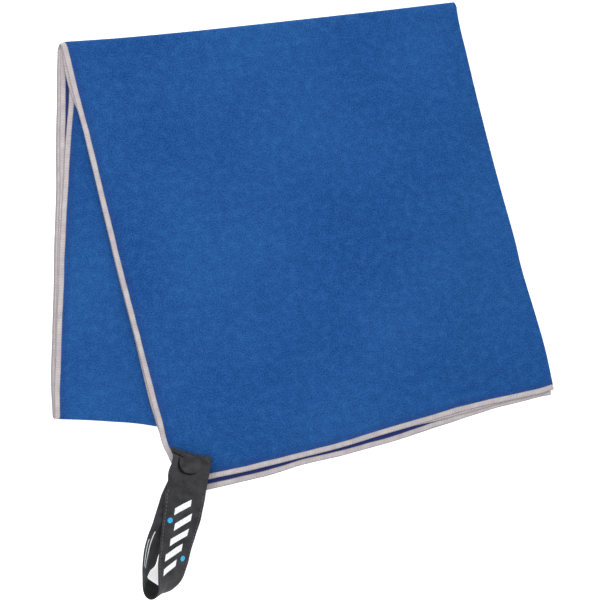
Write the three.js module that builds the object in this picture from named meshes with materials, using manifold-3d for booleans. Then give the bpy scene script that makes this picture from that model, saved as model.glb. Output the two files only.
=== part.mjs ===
// Quick dry towel, folded for the shelf, with a snap hang loop at one corner.
// Millimetres, +Z up. The towel lies flat: +X to its right, +Y towards its top fold.
// A 640 x 1370 microfibre cloth is doubled over its width (fold at the right, cut
// edges at the left), doubled over its length (bottom fold of the back group) and
// doubled again, a little askew (top fold), so that eight layers lie on each other.
import * as THREE from "three";
import { mergeVertices } from "three/addons/utils/BufferGeometryUtils.js";
import Module from "manifold-3d";

const wasm = await Module();
wasm.setup();

// ---------------------------------------------------------------- dimensions
const CLOTH = 0.95; // one layer of suede microfibre, with its nap
const PLY_GAP = 0.3; // air between the two layers of a doubled leg
const LEG = 2 * CLOTH + PLY_GAP; // one doubled leg
const LEG_GAP = 0.3; // air between legs
const BACK_LOWER_Z = 0;
const BACK_UPPER_Z = BACK_LOWER_Z + LEG + LEG_GAP;
const FRONT_INNER_Z = BACK_UPPER_Z + LEG + LEG_GAP;
const FRONT_OUTER_Z = FRONT_INNER_Z + LEG + LEG_GAP;
const FRONT_TOP_Z = FRONT_OUTER_Z + LEG;
const EDGING = 4.8; // width of the overlock edging
const EDGING_GAP = 0.6; // edging to cloth
const CORNER_R = 2.8; // rounded corner of the edging, along its middle

const STRAP_T = 0.9; // nylon ribbon of the hang loop
const STRAP_W = 31.7;
const HEM_POINT = [-95.06, -153.06]; // where the strap's middle crosses the hem
const STRAP_ANGLE = 10; // degrees, strap leaning left of the towel's down direction
const HINGE_OUT = 3; // swing line of the strap, outside the hem
const HINGE_Z = 14.9;

const SNAP_IN = 19.8; // snap centre, inside the hem
const SNAP_SIDE = 0.0;
const TAB_END_IN = 29.4; // folded end of the tab, inside the hem
const TAB_TURN_IN = 8.6; // where the turned-back layer of the tab is sewn down
const BASE_IN = 28.2; // sewn end of the strap, inside the hem
const BASE_Z = 10.6;
const TAB_Z = 14.7;
const TAB_UP_Z = 16.8;
const POST_FLANGE_D = 11.5;
const POST_BARREL_D = 3.6;
const STUD_FLANGE_D = 11.6;
const STUD_KNOB_D = 6.6;
const SOCKET_D = 12.4;
const SOCKET_BORE_D = 7.5;
const CAP_D = 15.2;
const CAP_POST_D = 3.4;
const RIVET_HOLE_D = 4.3;

// Outlines in the towel's plane, top to bottom or left to right.
const FRONT_OUTER = {
  left: [[-198.8, 210.68], [-183.51, 149.03], [-162.63, 66.83], [-139.45, -23.59], [-116.44, -114.01], [-106.33, -151.82]],
  right: [[125.07, 244.38], [133.62, 206.57], [149.07, 143.6], [160.58, 99.71], [174.39, 50.39], [197.4, -31.81], [205.62, -72.5]],
  bottom: [[-106.33, -151.82], [-77.97, -145.74], [-46.73, -138.84], [-3.99, -129.05], [30.54, -120.42], [65.39, -109.49], [96.3, -100.2], [132.3, -89.35], [184.74, -77.35], [205.62, -72.5]],
};
const FRONT_INNER = {
  left: [[-199.62, 210.51], [-186.47, 149.03], [-164.28, 66.83], [-140.85, -23.59], [-117.01, -114.01], [-107.15, -158.4]],
  right: [[124.74, 244.22], [133.29, 206.57], [148.74, 143.6], [160.25, 99.71], [173.98, 50.39], [196.99, -31.81], [203.57, -77.02]],
  bottom: [[-107.15, -158.4], [-78.79, -153.8], [-55.77, -148.54], [-32.76, -144.01], [-3.99, -135.88], [30.54, -126.67], [65.39, -116.31], [96.3, -108.83], [142.74, -91.57], [174.22, -82.69], [203.57, -77.02]],
};
const BACK = {
  left: [[-201.68, 209.45], [-202.58, 124.37], [-202.91, 66.83], [-204.23, 9.29], [-204.88, -23.59], [-205.95, -64.69], [-204.14, -94.28]],
  right: [[124.25, 243.97], [123.42, 165.47], [121.78, 83.27], [120.14, 1.07], [118.08, -82.78]],
  bottom: [[-204.14, -94.28], [-172.5, -95.93], [-132.05, -98.39], [-119.31, -100.45], [-68.1, -102.5], [-2.34, -102.09], [63.42, -95.93], [118.08, -82.78]],
};

// Ribbon of the loop: [upper edge x, y, z], [lower edge x, y, z] every 10 to 15 mm.
// It lies flat at the towel and turns onto its edge towards the far end.
const FRONT_ARM = [
  [[-111.42, -154.78, 13.4], [-80.19, -160.37, 13.2]],
  [[-112.82, -166.62, 15.4], [-82.08, -170.32, 8.6]],
  [[-114.96, -179.77, 17], [-84.54, -182.24, 8.2]],
  [[-116.44, -192.92, 20], [-88.65, -194.57, 5]],
  [[-117.67, -205.25, 22.2], [-92.6, -206.49, 2.9]],
  [[-118.41, -215.12, 23.8], [-95.39, -216.76, 2]],
  [[-118.66, -224.98, 26.6], [-99.5, -226.21, 1.4]],
  [[-119.07, -234.02, 29.2], [-104.44, -235.67, 1.2]],
];
const FAR_BEND = [
  [[-119.89, -238.96, 30.9], [-109.2, -239.37, 1.1]],
  [[-122.52, -243.56, 31.5], [-114.63, -240.93, 1]],
  [[-126.05, -244.54, 31.6], [-119.89, -239.37, 1]],
  [[-129.51, -242.08, 31.4], [-124.41, -234.43, 1]],
];
const BACK_ARM = [
  [[-131.48, -237.31, 31.3], [-127.12, -229.09, 1]],
  [[-132.22, -226.63, 31.6], [-125.4, -222.52, 1]],
  [[-132.47, -218.41, 30.9], [-121.86, -217.17, 1]],
  [[-131.73, -210.19, 30.1], [-119.07, -208.54, 1]],
  [[-130.41, -202.38, 28.6], [-114.96, -200.32, 1]],
  [[-127.62, -192.92, 26.2], [-108.38, -190.87, 1]],
  [[-123.18, -180.59, 20.6], [-98.11, -181, 1.2]],
  [[-118.66, -167.44, 13.4], [-89.06, -169.91, 2.2]],
  [[-113.97, -156.92, 9.7], [-82.65, -162.34, 8.6]],
];
const ARM_CLEAR = 0.02; // share of the ribbon's run left open at each side of the far bend

// ----------------------------------------------------------------- materials
const finish = (color, roughness, metalness = 0) =>
  new THREE.MeshStandardMaterial({ color, roughness, metalness });
const suede = finish(0x285897, 0.95);
const suedeDeep = finish(0x214c88, 0.95);
const thread = finish(0xcfc4c1, 0.85);
const webbing = finish(0x3a3a3d, 0.7);
const webbingDark = finish(0x303033, 0.72);
const stitch = finish(0x5a5a5e, 0.8);
const steel = finish(0xb9bcc0, 0.3, 0.9);
const paintedSteel = finish(0x2c2c2f, 0.45, 0.4);

// ------------------------------------------------------------------- helpers
function solidOf(positions, index) {
  const g = new THREE.BufferGeometry();
  g.setAttribute("position", new THREE.BufferAttribute(new Float32Array(positions), 3));
  g.setIndex(index);
  const p = positions;
  let volume = 0;
  for (let i = 0; i < index.length; i += 3) {
    const [a, b, c] = [index[i] * 3, index[i + 1] * 3, index[i + 2] * 3];
    volume +=
      p[a] * (p[b + 1] * p[c + 2] - p[b + 2] * p[c + 1]) -
      p[a + 1] * (p[b] * p[c + 2] - p[b + 2] * p[c]) +
      p[a + 2] * (p[b] * p[c + 1] - p[b + 1] * p[c]);
  }
  if (volume < 0) {
    for (let i = 0; i < index.length; i += 3) [index[i + 1], index[i + 2]] = [index[i + 2], index[i + 1]];
    g.setIndex(index);
  }
  g.computeVertexNormals();
  return g;
}

// rings: equal-length lists of [x, y, z]; flat: the same section as 2-D points, for its caps;
// facets: the caps' triangles, where they have to follow a curved end; crossed: the sides that take
// the other diagonal, so that the two faces of a twisted strip stay parallel.
function loft(rings, flat, facets, crossed = []) {
  const n = rings[0].length;
  const positions = rings.flat(2);
  const index = [];
  for (let i = 0; i + 1 < rings.length; i++)
    for (let k = 0; k < n; k++) {
      const [a, b] = [i * n + k, i * n + ((k + 1) % n)];
      if (crossed.includes(k)) index.push(a, b, a + n, b, b + n, a + n);
      else index.push(a, b, b + n, a, b + n, a + n);
    }
  const section = flat.map(([x, y]) => new THREE.Vector2(x, y));
  const caps = facets ?? THREE.ShapeUtils.triangulateShape(section, []);
  const last = (rings.length - 1) * n;
  const ccw = THREE.ShapeUtils.area(section) > 0;
  for (const cap of caps) {
    // sides run a -> b along the first ring, so the first cap runs against the outline
    const same = THREE.ShapeUtils.area(cap.map((i) => section[i])) > 0 === ccw;
    const [a, b, c] = same ? cap : [cap[0], cap[2], cap[1]];
    index.push(a, c, b);
    index.push(last + a, last + b, last + c);
  }
  return solidOf(positions, index);
}

function toManifold(geometry) {
  const g = geometry.clone();
  for (const name of Object.keys(g.attributes)) if (name !== "position") g.deleteAttribute(name);
  const m = mergeVertices(g, 1e-4);
  const mesh = new wasm.Mesh({
    numProp: 3,
    vertProperties: new Float32Array(m.attributes.position.array),
    triVerts: new Uint32Array(m.index.array),
  });
  return new wasm.Manifold(mesh);
}
function fromManifold(manifold) {
  const mesh = manifold.getMesh();
  const positions = [];
  for (let i = 0; i < mesh.numVert; i++)
    for (let k = 0; k < 3; k++) positions.push(mesh.vertProperties[i * mesh.numProp + k]);
  return solidOf(positions, Array.from(mesh.triVerts));
}

const lerp2 = (a, b, t) => [a[0] + (b[0] - a[0]) * t, a[1] + (b[1] - a[1]) * t];
function along(line, t) {
  const steps = [0];
  for (let i = 1; i < line.length; i++)
    steps.push(steps[i - 1] + Math.hypot(line[i][0] - line[i - 1][0], line[i][1] - line[i - 1][1]));
  const at = Math.min(Math.max(t, 0), 1) * steps[steps.length - 1];
  let i = 1;
  while (i < line.length - 1 && steps[i] < at) i++;
  return lerp2(line[i - 1], line[i], (at - steps[i - 1]) / (steps[i] - steps[i - 1]));
}
// Point of an outline at s from left to right and t from top to bottom.
function patch(o, s, t) {
  const [l, r, b] = [along(o.left, t), along(o.right, t), along(o.bottom, s)];
  const [p00, p10] = [o.left[0], o.right[0]];
  const [p01, p11] = [o.bottom[0], o.bottom[o.bottom.length - 1]];
  const top = lerp2(p00, p10, s);
  return [0, 1].map(
    (k) =>
      (1 - s) * l[k] + s * r[k] + (1 - t) * top[k] + t * b[k] -
      ((1 - s) * (1 - t) * p00[k] + s * (1 - t) * p10[k] + (1 - s) * t * p01[k] + s * t * p11[k]),
  );
}
const reach = (p, q) => Math.hypot(p[0] - q[0], p[1] - q[1]);
const widthOf = (o) => reach(o.right[0], o.left[0]);
// The share of t that an inset in millimetres takes at s.
const inset = (o, mm, s) =>
  mm / ((1 - s) * reach(o.left[0], o.bottom[0]) + s * reach(o.right[0], o.bottom[o.bottom.length - 1]));
const span = (from, to, n) => Array.from({ length: n + 1 }, (_, i) => from + ((to - from) * i) / n);

// A doubled leg: two layers of cloth joined along the right fold, open at the left.
function doubledLeg(o, z0, sFrom, hem, across, down) {
  const [z1, z2, z3] = [z0 + CLOTH, z0 + CLOTH + PLY_GAP, z0 + LEG];
  const width = widthOf(o);
  const inner = 1 - 1.2 / width;
  const round = 1 - 0.7 / width;
  const ss = span(sFrom, round, across);
  const si = span(sFrom, inner, across);
  const section = [
    ...ss.map((s) => [s, z0]),
    [1, z0 + 0.7],
    [1, z3 - 0.7],
    ...[...ss].reverse().map((s) => [s, z3]),
    ...si.map((s) => [s, z2]),
    ...[...si].reverse().map((s) => [s, z1]),
  ];
  const rings = span(0, 1, down).map((v) => section.map(([s, z]) => [...patch(o, s, v * (1 - inset(o, hem, s))), z]));
  const n = across + 1;
  const row = [(k) => k, (k) => 4 * n + 1 - k, (k) => 2 * n + 2 + k, (k) => 2 * n + 1 - k]; // z0, z1, z2, z3
  const facets = [];
  for (const [low, high] of [[row[0], row[1]], [row[2], row[3]]])
    for (let k = 0; k < across; k++)
      facets.push([low(k), low(k + 1), high(k + 1)], [low(k), high(k + 1), high(k)]);
  const ends = [row[0](across), n, n + 1, row[3](across), row[2](across), row[1](across)];
  for (let i = 1; i < 5; i++) facets.push([ends[0], ends[i], ends[i + 1]]);
  return loft(rings, section.map(([s, z]) => [s * width, z]), facets);
}

// A flat strip of given width and thickness that follows a path in the towel's plane.
function strip(path, width, z0, thick) {
  const [h, b] = [width / 2, Math.min(0.3, thick / 3)];
  const section = [
    [-h, z0 + b], [-h + b, z0], [h - b, z0], [h, z0 + b],
    [h, z0 + thick - b], [h - b, z0 + thick], [-h + b, z0 + thick], [-h, z0 + thick - b],
  ];
  const rings = path.map((p, i) => {
    const before = path[Math.max(i - 1, 0)];
    const after = path[Math.min(i + 1, path.length - 1)];
    const turn = (q, r) => {
      const d = [r[0] - q[0], r[1] - q[1]];
      const l = Math.hypot(...d) || 1;
      return [d[0] / l, d[1] / l];
    };
    const [d1, d2] = [i ? turn(before, p) : turn(p, after), i < path.length - 1 ? turn(p, after) : turn(before, p)];
    let [x, y] = [d1[0] + d2[0], d1[1] + d2[1]];
    const l = Math.hypot(x, y);
    [x, y] = [x / l, y / l];
    const stretch = 1 / Math.max(0.5, x * d1[0] + y * d1[1]);
    return section.map(([a, z]) => [p[0] - y * a * stretch, p[1] + x * a * stretch, z]);
  });
  return loft(rings, section);
}

// The towel's cut edge: down the left side and, where asked, round the corner and along the hem.
function edgePath(o, in_, hem, tTo, steps) {
  const width = widthOf(o);
  const s0 = in_ / width;
  const t0 = hem ? 1 - inset(o, in_, s0) : tTo;
  const r = [CORNER_R / width, inset(o, CORNER_R, 0)];
  const path = span(0, hem ? t0 - r[1] : t0, steps).map((v) => patch(o, s0, v));
  if (!hem) return path;
  for (const a of [20, 45, 70]) {
    const q = (a * Math.PI) / 180;
    path.push(patch(o, s0 + r[0] * (1 - Math.cos(q)), t0 - r[1] * (1 - Math.sin(q))));
  }
  for (const v of span(s0 + r[0], 1 - 1.4 / width, 14)) path.push(patch(o, v, 1 - inset(o, in_, v)));
  return path;
}

// A twisted ribbon from its two edges.
function ribbon(stations, from, to, steps, thick = STRAP_T) {
  const edge = (k) => new THREE.CatmullRomCurve3(stations.map((p) => new THREE.Vector3(...p[k])), false, "centripetal");
  const [e0, e1] = [edge(0), edge(1)];
  const rings = span(from, to, steps).map((t) => {
    const [p, q] = [e0.getPoint(t), e1.getPoint(t)];
    const run = e0.getTangent(t).add(e1.getTangent(t)).normalize();
    const w = q.clone().sub(p).normalize();
    const n = new THREE.Vector3().crossVectors(w, run).normalize().multiplyScalar(thick / 2);
    const bevel = w.clone().multiplyScalar(0.25);
    return [
      p.clone().add(n).add(bevel), p.clone(), p.clone().sub(n).add(bevel),
      q.clone().sub(n).sub(bevel), q.clone(), q.clone().add(n).sub(bevel),
    ].map((v) => v.toArray());
  });
  const h = STRAP_W / 2;
  return loft(rings, [[-h + 0.25, 0.45], [-h, 0], [-h + 0.25, -0.45], [h - 0.25, -0.45], [h, 0], [h - 0.25, 0.45]], undefined, [5]);
}

// Local frame of the strap at the hem: a along the strap, away from the towel; b to its right.
const angle = (STRAP_ANGLE * Math.PI) / 180;
const A = [-Math.sin(angle), -Math.cos(angle)];
const B = [Math.cos(angle), -Math.sin(angle)];
const at = (a, b, z) => [HEM_POINT[0] + A[0] * a + B[0] * b, HEM_POINT[1] + A[1] * a + B[1] * b, z];
const placed = (mesh, a, b, z) => {
  mesh.position.set(...at(a, b, z));
  return mesh;
};
// A side profile [a, z] of the strap, as wide as the strap, with its corners nipped.
function strapProfile(profile, half) {
  const rings = [-half, -half + 1.2, half - 1.2, half].map((b, i) => {
    const nip = i === 0 || i === 3 ? 1 : 0;
    const low = Math.min(...profile.map((p) => p[0]));
    return profile.map(([a, z]) => at(nip && a < low + 2 ? a + 1.0 : a, b, z));
  });
  return loft(rings, profile);
}
function rivetHole(geometry, a, b, z0, z1, d) {
  const drill = new THREE.CylinderGeometry(d / 2, d / 2, z1 - z0, 24);
  drill.rotateX(Math.PI / 2);
  drill.translate(...at(a, b, (z0 + z1) / 2));
  return fromManifold(toManifold(geometry).subtract(toManifold(drill)));
}
function turned(profile, segments = 32) {
  const g = new THREE.LatheGeometry(profile.map(([r, z]) => new THREE.Vector2(r, z)), segments);
  g.rotateX(Math.PI / 2);
  return g;
}

// --------------------------------------------------------------------- build
const towel = new THREE.Group();
const add = (name, geometry, material) => {
  const mesh = new THREE.Mesh(geometry, material);
  mesh.name = name;
  towel.add(mesh);
  return mesh;
};

// Cloth
const share = (o, mm) => mm / widthOf(o);
const CLOTH_INSET = EDGING + EDGING_GAP;

{
  // Back group: two doubled legs joined by the bottom fold.
  const R = (2 * LEG + LEG_GAP) / 2;
  const s0 = share(BACK, CLOTH_INSET);
  const lower = doubledLeg(BACK, BACK_LOWER_Z, s0, R, 8, 7);
  const upper = doubledLeg(BACK, BACK_UPPER_Z, s0, R, 8, 7);
  const mid = BACK_LOWER_Z + R;
  const arc = [];
  for (const d of [-90, -60, -30, 0, 30, 60, 90]) arc.push([Math.cos((d * Math.PI) / 180) * R, mid + Math.sin((d * Math.PI) / 180) * R]);
  const fold = [[-1.2, mid - R], ...arc, [-1.2, mid + R], [-1.2, mid + LEG_GAP / 2], [0.3, mid + LEG_GAP / 2], [0.3, mid - LEG_GAP / 2], [-1.2, mid - LEG_GAP / 2]];
  const rings = span(s0, 1, 8).map((s) => {
    const [p, q] = [patch(BACK, s, 1 - inset(BACK, R, s)), patch(BACK, s, 1)];
    const l = Math.hypot(q[0] - p[0], q[1] - p[1]);
    return fold.map(([d, z]) => [p[0] + ((q[0] - p[0]) / l) * d, p[1] + ((q[1] - p[1]) / l) * d, z]);
  });
  const joined = toManifold(lower).add(toManifold(upper)).add(toManifold(loft(rings, fold)));
  add("towel_cloth_back", fromManifold(joined), suedeDeep);
}
add("towel_cloth_front_inner", doubledLeg(FRONT_INNER, FRONT_INNER_Z, share(FRONT_INNER, CLOTH_INSET), CLOTH_INSET, 9, 9), suede);
add("towel_cloth_front_outer", doubledLeg(FRONT_OUTER, FRONT_OUTER_Z, share(FRONT_OUTER, CLOTH_INSET), CLOTH_INSET, 9, 9), suede);

// Overlock edging, one run per layer of cloth, layer 1 at the top
const HALF_EDGE = EDGING / 2 + 0.1;
[
  [FRONT_OUTER, FRONT_OUTER_Z + CLOTH + PLY_GAP], [FRONT_OUTER, FRONT_OUTER_Z],
  [FRONT_INNER, FRONT_INNER_Z + CLOTH + PLY_GAP], [FRONT_INNER, FRONT_INNER_Z],
].forEach(([o, z], i) =>
  add(`edging_front_layer_${i + 1}`, strip(edgePath(o, HALF_EDGE, true, 1, 10), EDGING - 0.1, z, CLOTH), thread),
);
[
  BACK_UPPER_Z + CLOTH + PLY_GAP, BACK_UPPER_Z, BACK_LOWER_Z + CLOTH + PLY_GAP, BACK_LOWER_Z,
].forEach((z, i) =>
  add(`edging_back_layer_${i + 1}`, strip(edgePath(BACK, HALF_EDGE, false, 0.994, 8), EDGING - 0.1, z, CLOTH), thread),
);

// Strap end sewn on the face of the towel's corner, and the stud riveted through it
const HALF = STRAP_W / 2;
const baseProfile = [[-BASE_IN, BASE_Z], [0, BASE_Z], [1.4, BASE_Z - 0.5], [1.4, BASE_Z - 0.5 + STRAP_T], [0, BASE_Z + STRAP_T], [-BASE_IN, BASE_Z + STRAP_T]];
add("strap_sewn_end", rivetHole(strapProfile(baseProfile, HALF), -SNAP_IN, SNAP_SIDE, BASE_Z - 1, BASE_Z + 2, RIVET_HOLE_D), webbingDark);
{
  // box stitch round the rivet, proud of the sewn end
  const shape = new THREE.Shape();
  const [a0, a1, b1] = [-BASE_IN + 1.0, -2.6, HALF - 2.6];
  const ring = (k) => [[a0 + k, -b1 + k], [a1 - k, -b1 + k], [a1 - k, b1 - k], [a0 + k, b1 - k]];
  ring(0).forEach(([a, b], i) => shape[i ? "lineTo" : "moveTo"](a, b));
  const hole = new THREE.Path();
  ring(0.8).forEach(([a, b], i) => hole[i ? "lineTo" : "moveTo"](a, b));
  shape.holes.push(hole);
  const g = new THREE.ExtrudeGeometry(shape, { depth: 0.35, bevelEnabled: false });
  const m = new THREE.Matrix4().set(
    A[0], B[0], 0, HEM_POINT[0],
    A[1], B[1], 0, HEM_POINT[1],
    0, 0, 1, BASE_Z + STRAP_T + 0.05 + 0.25,
    0, 0, 0, 1,
  );
  g.applyMatrix4(m);
  const merged = fromManifoldSafe(g);
  add("sewn_end_box_stitch", merged, stitch);
}
function fromManifoldSafe(g) {
  const c = g.clone();
  for (const name of Object.keys(c.attributes)) if (name !== "position") c.deleteAttribute(name);
  const m = mergeVertices(c, 1e-4);
  return solidOf(Array.from(m.attributes.position.array), Array.from(m.index.array));
}
placed(
  add("snap_stud_post", turned([[0, 0], [POST_FLANGE_D / 2, 0], [POST_FLANGE_D / 2, 0.3], [POST_BARREL_D / 2, 0.3], [POST_BARREL_D / 2, 1.5], [0, 1.5]], 24), steel),
  -SNAP_IN, SNAP_SIDE, FRONT_TOP_Z + 0.3,
);
placed(
  add(
    "snap_stud",
    turned([[0, 0], [STUD_FLANGE_D / 2, 0], [STUD_FLANGE_D / 2, 0.35], [STUD_KNOB_D / 2 - 0.45, 0.35], [STUD_KNOB_D / 2 - 0.45, 0.75], [STUD_KNOB_D / 2, 1.25], [STUD_KNOB_D / 2 - 0.3, 1.75], [STUD_KNOB_D / 2 - 1.2, 2.0], [0, 2.0]]),
    steel,
  ),
  -SNAP_IN, SNAP_SIDE, BASE_Z + STRAP_T + 0.3,
);

// Free tab of the strap: its end is turned back over the cap and sewn down
const T = STRAP_T;
const tabProfile = [
  [-TAB_END_IN + 2.4, TAB_Z], [-10, TAB_Z], [1.4, TAB_Z - 1.3], [1.4, TAB_Z - 1.3 + T], [-10 + 0.3, TAB_Z + T],
  [-TAB_END_IN + 2.6, TAB_Z + T], [-TAB_END_IN + 1.6, TAB_Z + T + 0.4], [-TAB_END_IN + 1.6, TAB_UP_Z - 0.4], [-TAB_END_IN + 2.6, TAB_UP_Z],
  [-TAB_TURN_IN - 3.6, TAB_UP_Z], [-TAB_TURN_IN, TAB_Z + T + 0.3], [-TAB_TURN_IN, TAB_Z + T + 0.3 + T], [-TAB_TURN_IN - 3.3, TAB_UP_Z + T],
  [-TAB_END_IN + 2.4, TAB_UP_Z + T], [-TAB_END_IN + 0.8, TAB_UP_Z + T - 0.5], [-TAB_END_IN, TAB_UP_Z - 0.3], [-TAB_END_IN, TAB_Z + T + 0.3], [-TAB_END_IN + 0.8, TAB_Z + 0.4],
];
add("strap_snap_tab", rivetHole(strapProfile(tabProfile, HALF), -SNAP_IN, SNAP_SIDE, TAB_Z - 1, TAB_Z + T + 0.5, RIVET_HOLE_D), webbing);
placed(
  add(
    "snap_socket",
    turned([[SOCKET_BORE_D / 2, 0], [SOCKET_D / 2 - 0.5, 0], [SOCKET_D / 2, 0.5], [SOCKET_D / 2, 1.4], [SOCKET_D / 2 - 0.5, 1.9], [2.3, 1.9], [2.3, 1.65], [SOCKET_BORE_D / 2, 1.5], [SOCKET_BORE_D / 2, 0]]),
    steel,
  ),
  -SNAP_IN, SNAP_SIDE, TAB_Z - 0.3 - 1.9,
);
placed(
  add(
    "snap_cap",
    turned([[0, -1.75], [CAP_POST_D / 2, -1.75], [CAP_POST_D / 2, 0], [CAP_D / 2 - 0.4, 0], [CAP_D / 2, 0.25], [CAP_D / 2 - 0.6, 0.55], [0, 0.6]]),
    paintedSteel,
  ),
  -SNAP_IN, SNAP_SIDE, TAB_Z + T + 0.3,
);
{
  // two rows of thread that hold the turned-back end, along the strap's width
  const h = HALF - 2.4;
  const z = TAB_UP_Z + T;
  const lay = (a, b, w) => {
    const s = [[a, z + 0.3], [a + w, z + 0.3], [a + w, z + 0.65], [a, z + 0.65]];
    return loft(span(-b, b, 2).map((q) => s.map(([p, v]) => at(p, q, v))), s);
  };
  add("tab_end_stitch", lay(-TAB_END_IN + 3.2, h, 0.8), stitch);
}

// The loop itself: back arm, far bend, front arm
const CHAIN = [...FRONT_ARM, ...FAR_BEND, ...BACK_ARM];
const last = CHAIN.length - 1;
const [bendFrom, bendTo] = [(FRONT_ARM.length - 0.5) / last, (FRONT_ARM.length + FAR_BEND.length - 0.5) / last];
add("strap_front_arm", ribbon(CHAIN, 0, bendFrom - ARM_CLEAR / 4, 20), webbing);
add("strap_far_bend", ribbon(CHAIN, bendFrom + ARM_CLEAR / 4, bendTo - ARM_CLEAR / 4, 16), webbing);
add("strap_back_arm", ribbon(CHAIN, bendTo + ARM_CLEAR / 4, 1, 24), webbingDark);

// Origin at the bottom centre of the whole object
towel.updateMatrixWorld(true);
const bounds = new THREE.Box3().setFromObject(towel, true);
towel.position.set(-(bounds.min.x + bounds.max.x) / 2, -(bounds.min.y + bounds.max.y) / 2, -bounds.min.z);
towel.updateMatrixWorld(true);

export default towel;
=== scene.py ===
"""The folded quick dry towel with its hang loop: one sheet of suede microfibre folded in eight layers,
overlocked round its raw edges, with a nylon ribbon loop that closes with a snap. Lengths in the helper
code are millimetres in the layout plane of the CAD outlines; meshes are made in metres in the row frame."""

import math

import bpy
import numpy as np
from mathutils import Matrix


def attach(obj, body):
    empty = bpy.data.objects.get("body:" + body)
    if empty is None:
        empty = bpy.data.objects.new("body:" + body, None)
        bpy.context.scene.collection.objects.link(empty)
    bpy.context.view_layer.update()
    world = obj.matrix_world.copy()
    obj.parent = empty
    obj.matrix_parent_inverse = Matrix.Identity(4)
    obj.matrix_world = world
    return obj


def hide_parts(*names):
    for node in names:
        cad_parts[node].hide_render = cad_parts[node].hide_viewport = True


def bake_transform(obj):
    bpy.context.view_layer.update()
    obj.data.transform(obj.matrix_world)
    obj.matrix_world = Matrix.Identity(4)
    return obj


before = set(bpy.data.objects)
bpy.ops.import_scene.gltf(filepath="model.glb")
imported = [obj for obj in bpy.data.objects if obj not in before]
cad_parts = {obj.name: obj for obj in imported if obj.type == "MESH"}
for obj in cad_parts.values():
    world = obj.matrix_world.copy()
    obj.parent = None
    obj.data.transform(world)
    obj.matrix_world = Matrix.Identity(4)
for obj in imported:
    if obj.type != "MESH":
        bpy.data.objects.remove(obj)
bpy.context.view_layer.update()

MM = 0.001
SHIFT = np.array([0.5016, 0.3007, 0.0])  # layout millimetres to row-frame millimetres


# ------------------------------------------------------------------ small maths
def smooth(x):
    x = np.clip(x, 0.0, 1.0)
    return x * x * (3 - 2 * x)


def unit(v):
    return v / np.maximum(np.linalg.norm(v, axis=-1, keepdims=True), 1e-12)


class Line:
    """A smooth line through points, read by share of its length."""

    def __init__(self, pts):
        self.p = np.array(pts, float)
        d = np.r_[0, np.cumsum(np.linalg.norm(np.diff(self.p, axis=0), axis=1))]
        self.length = d[-1]
        self.t = d / d[-1]
        if len(self.p) == 2:
            self.m = np.repeat([(self.p[1] - self.p[0])], 2, axis=0)
        else:
            self.m = np.gradient(self.p, self.t, axis=0)

    def __call__(self, t):
        t = np.asarray(t, float)
        i = np.clip(np.searchsorted(self.t, t) - 1, 0, len(self.t) - 2)
        h = (self.t[i + 1] - self.t[i])[..., None]
        u = ((t - self.t[i]) / (self.t[i + 1] - self.t[i]))[..., None]
        a, b, ma, mb = self.p[i], self.p[i + 1], self.m[i] * h, self.m[i + 1] * h
        u2, u3 = u * u, u * u * u
        return (2 * u3 - 3 * u2 + 1) * a + (u3 - 2 * u2 + u) * ma + (-2 * u3 + 3 * u2) * b + (u3 - u2) * mb


rng = np.random.default_rng(430)


def waves(lengths, amplitude, seed, dims=2):
    """A smooth field of plane or space waves of about these lengths, in millimetres."""
    r = np.random.default_rng(seed)
    rows = []
    for length in lengths:
        for _ in range(4):
            k = r.normal(size=dims)
            k = k / np.linalg.norm(k) * 2 * math.pi / (length * r.uniform(0.8, 1.25))
            rows.append((k, r.uniform(0, 2 * math.pi), r.uniform(0.6, 1.0)))
    total = math.sqrt(sum(w * w for *_, w in rows) / 2)

    def field(p):
        return amplitude / total * sum(w * np.sin(p @ k + f) for k, f, w in rows)

    return field


# ------------------------------------------------------------------ the folded sheet
FRONT_OUTER = {
    "left": [[-198.8, 210.68], [-183.51, 149.03], [-162.63, 66.83], [-139.45, -23.59], [-116.44, -114.01], [-106.33, -151.82]],
    "right": [[125.07, 244.38], [133.62, 206.57], [149.07, 143.6], [160.58, 99.71], [174.39, 50.39], [197.4, -31.81], [205.62, -72.5]],
    "bottom": [[-106.33, -151.82], [-77.97, -145.74], [-46.73, -138.84], [-3.99, -129.05], [30.54, -120.42], [65.39, -109.49], [96.3, -100.2], [132.3, -89.35], [184.74, -77.35], [205.62, -72.5]],
}
FRONT_INNER = {
    "left": [[-199.62, 210.51], [-186.47, 149.03], [-164.28, 66.83], [-140.85, -23.59], [-117.01, -114.01], [-107.15, -158.4]],
    "right": [[124.74, 244.22], [133.29, 206.57], [148.74, 143.6], [160.25, 99.71], [173.98, 50.39], [196.99, -31.81], [203.57, -77.02]],
    "bottom": [[-107.15, -158.4], [-78.79, -153.8], [-55.77, -148.54], [-32.76, -144.01], [-3.99, -135.88], [30.54, -126.67], [65.39, -116.31], [84.8, -110.3], [104.5, -104.2], [125.9, -99.3], [145.6, -94.0], [162.1, -88.2], [186.7, -81.3], [203.57, -77.02]],
}
BACK = {
    "left": [[-201.68, 209.45], [-202.58, 124.37], [-202.91, 66.83], [-204.23, 9.29], [-204.88, -23.59], [-205.95, -64.69], [-204.14, -94.28]],
    "right": [[124.25, 243.97], [123.42, 165.47], [121.78, 83.27], [120.14, 1.07], [118.08, -82.78]],
    "bottom": [[-204.14, -94.28], [-172.5, -95.93], [-132.05, -98.39], [-119.31, -100.45], [-68.1, -102.5], [-2.34, -102.09], [63.42, -95.93], [118.08, -82.78]],
}
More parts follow.
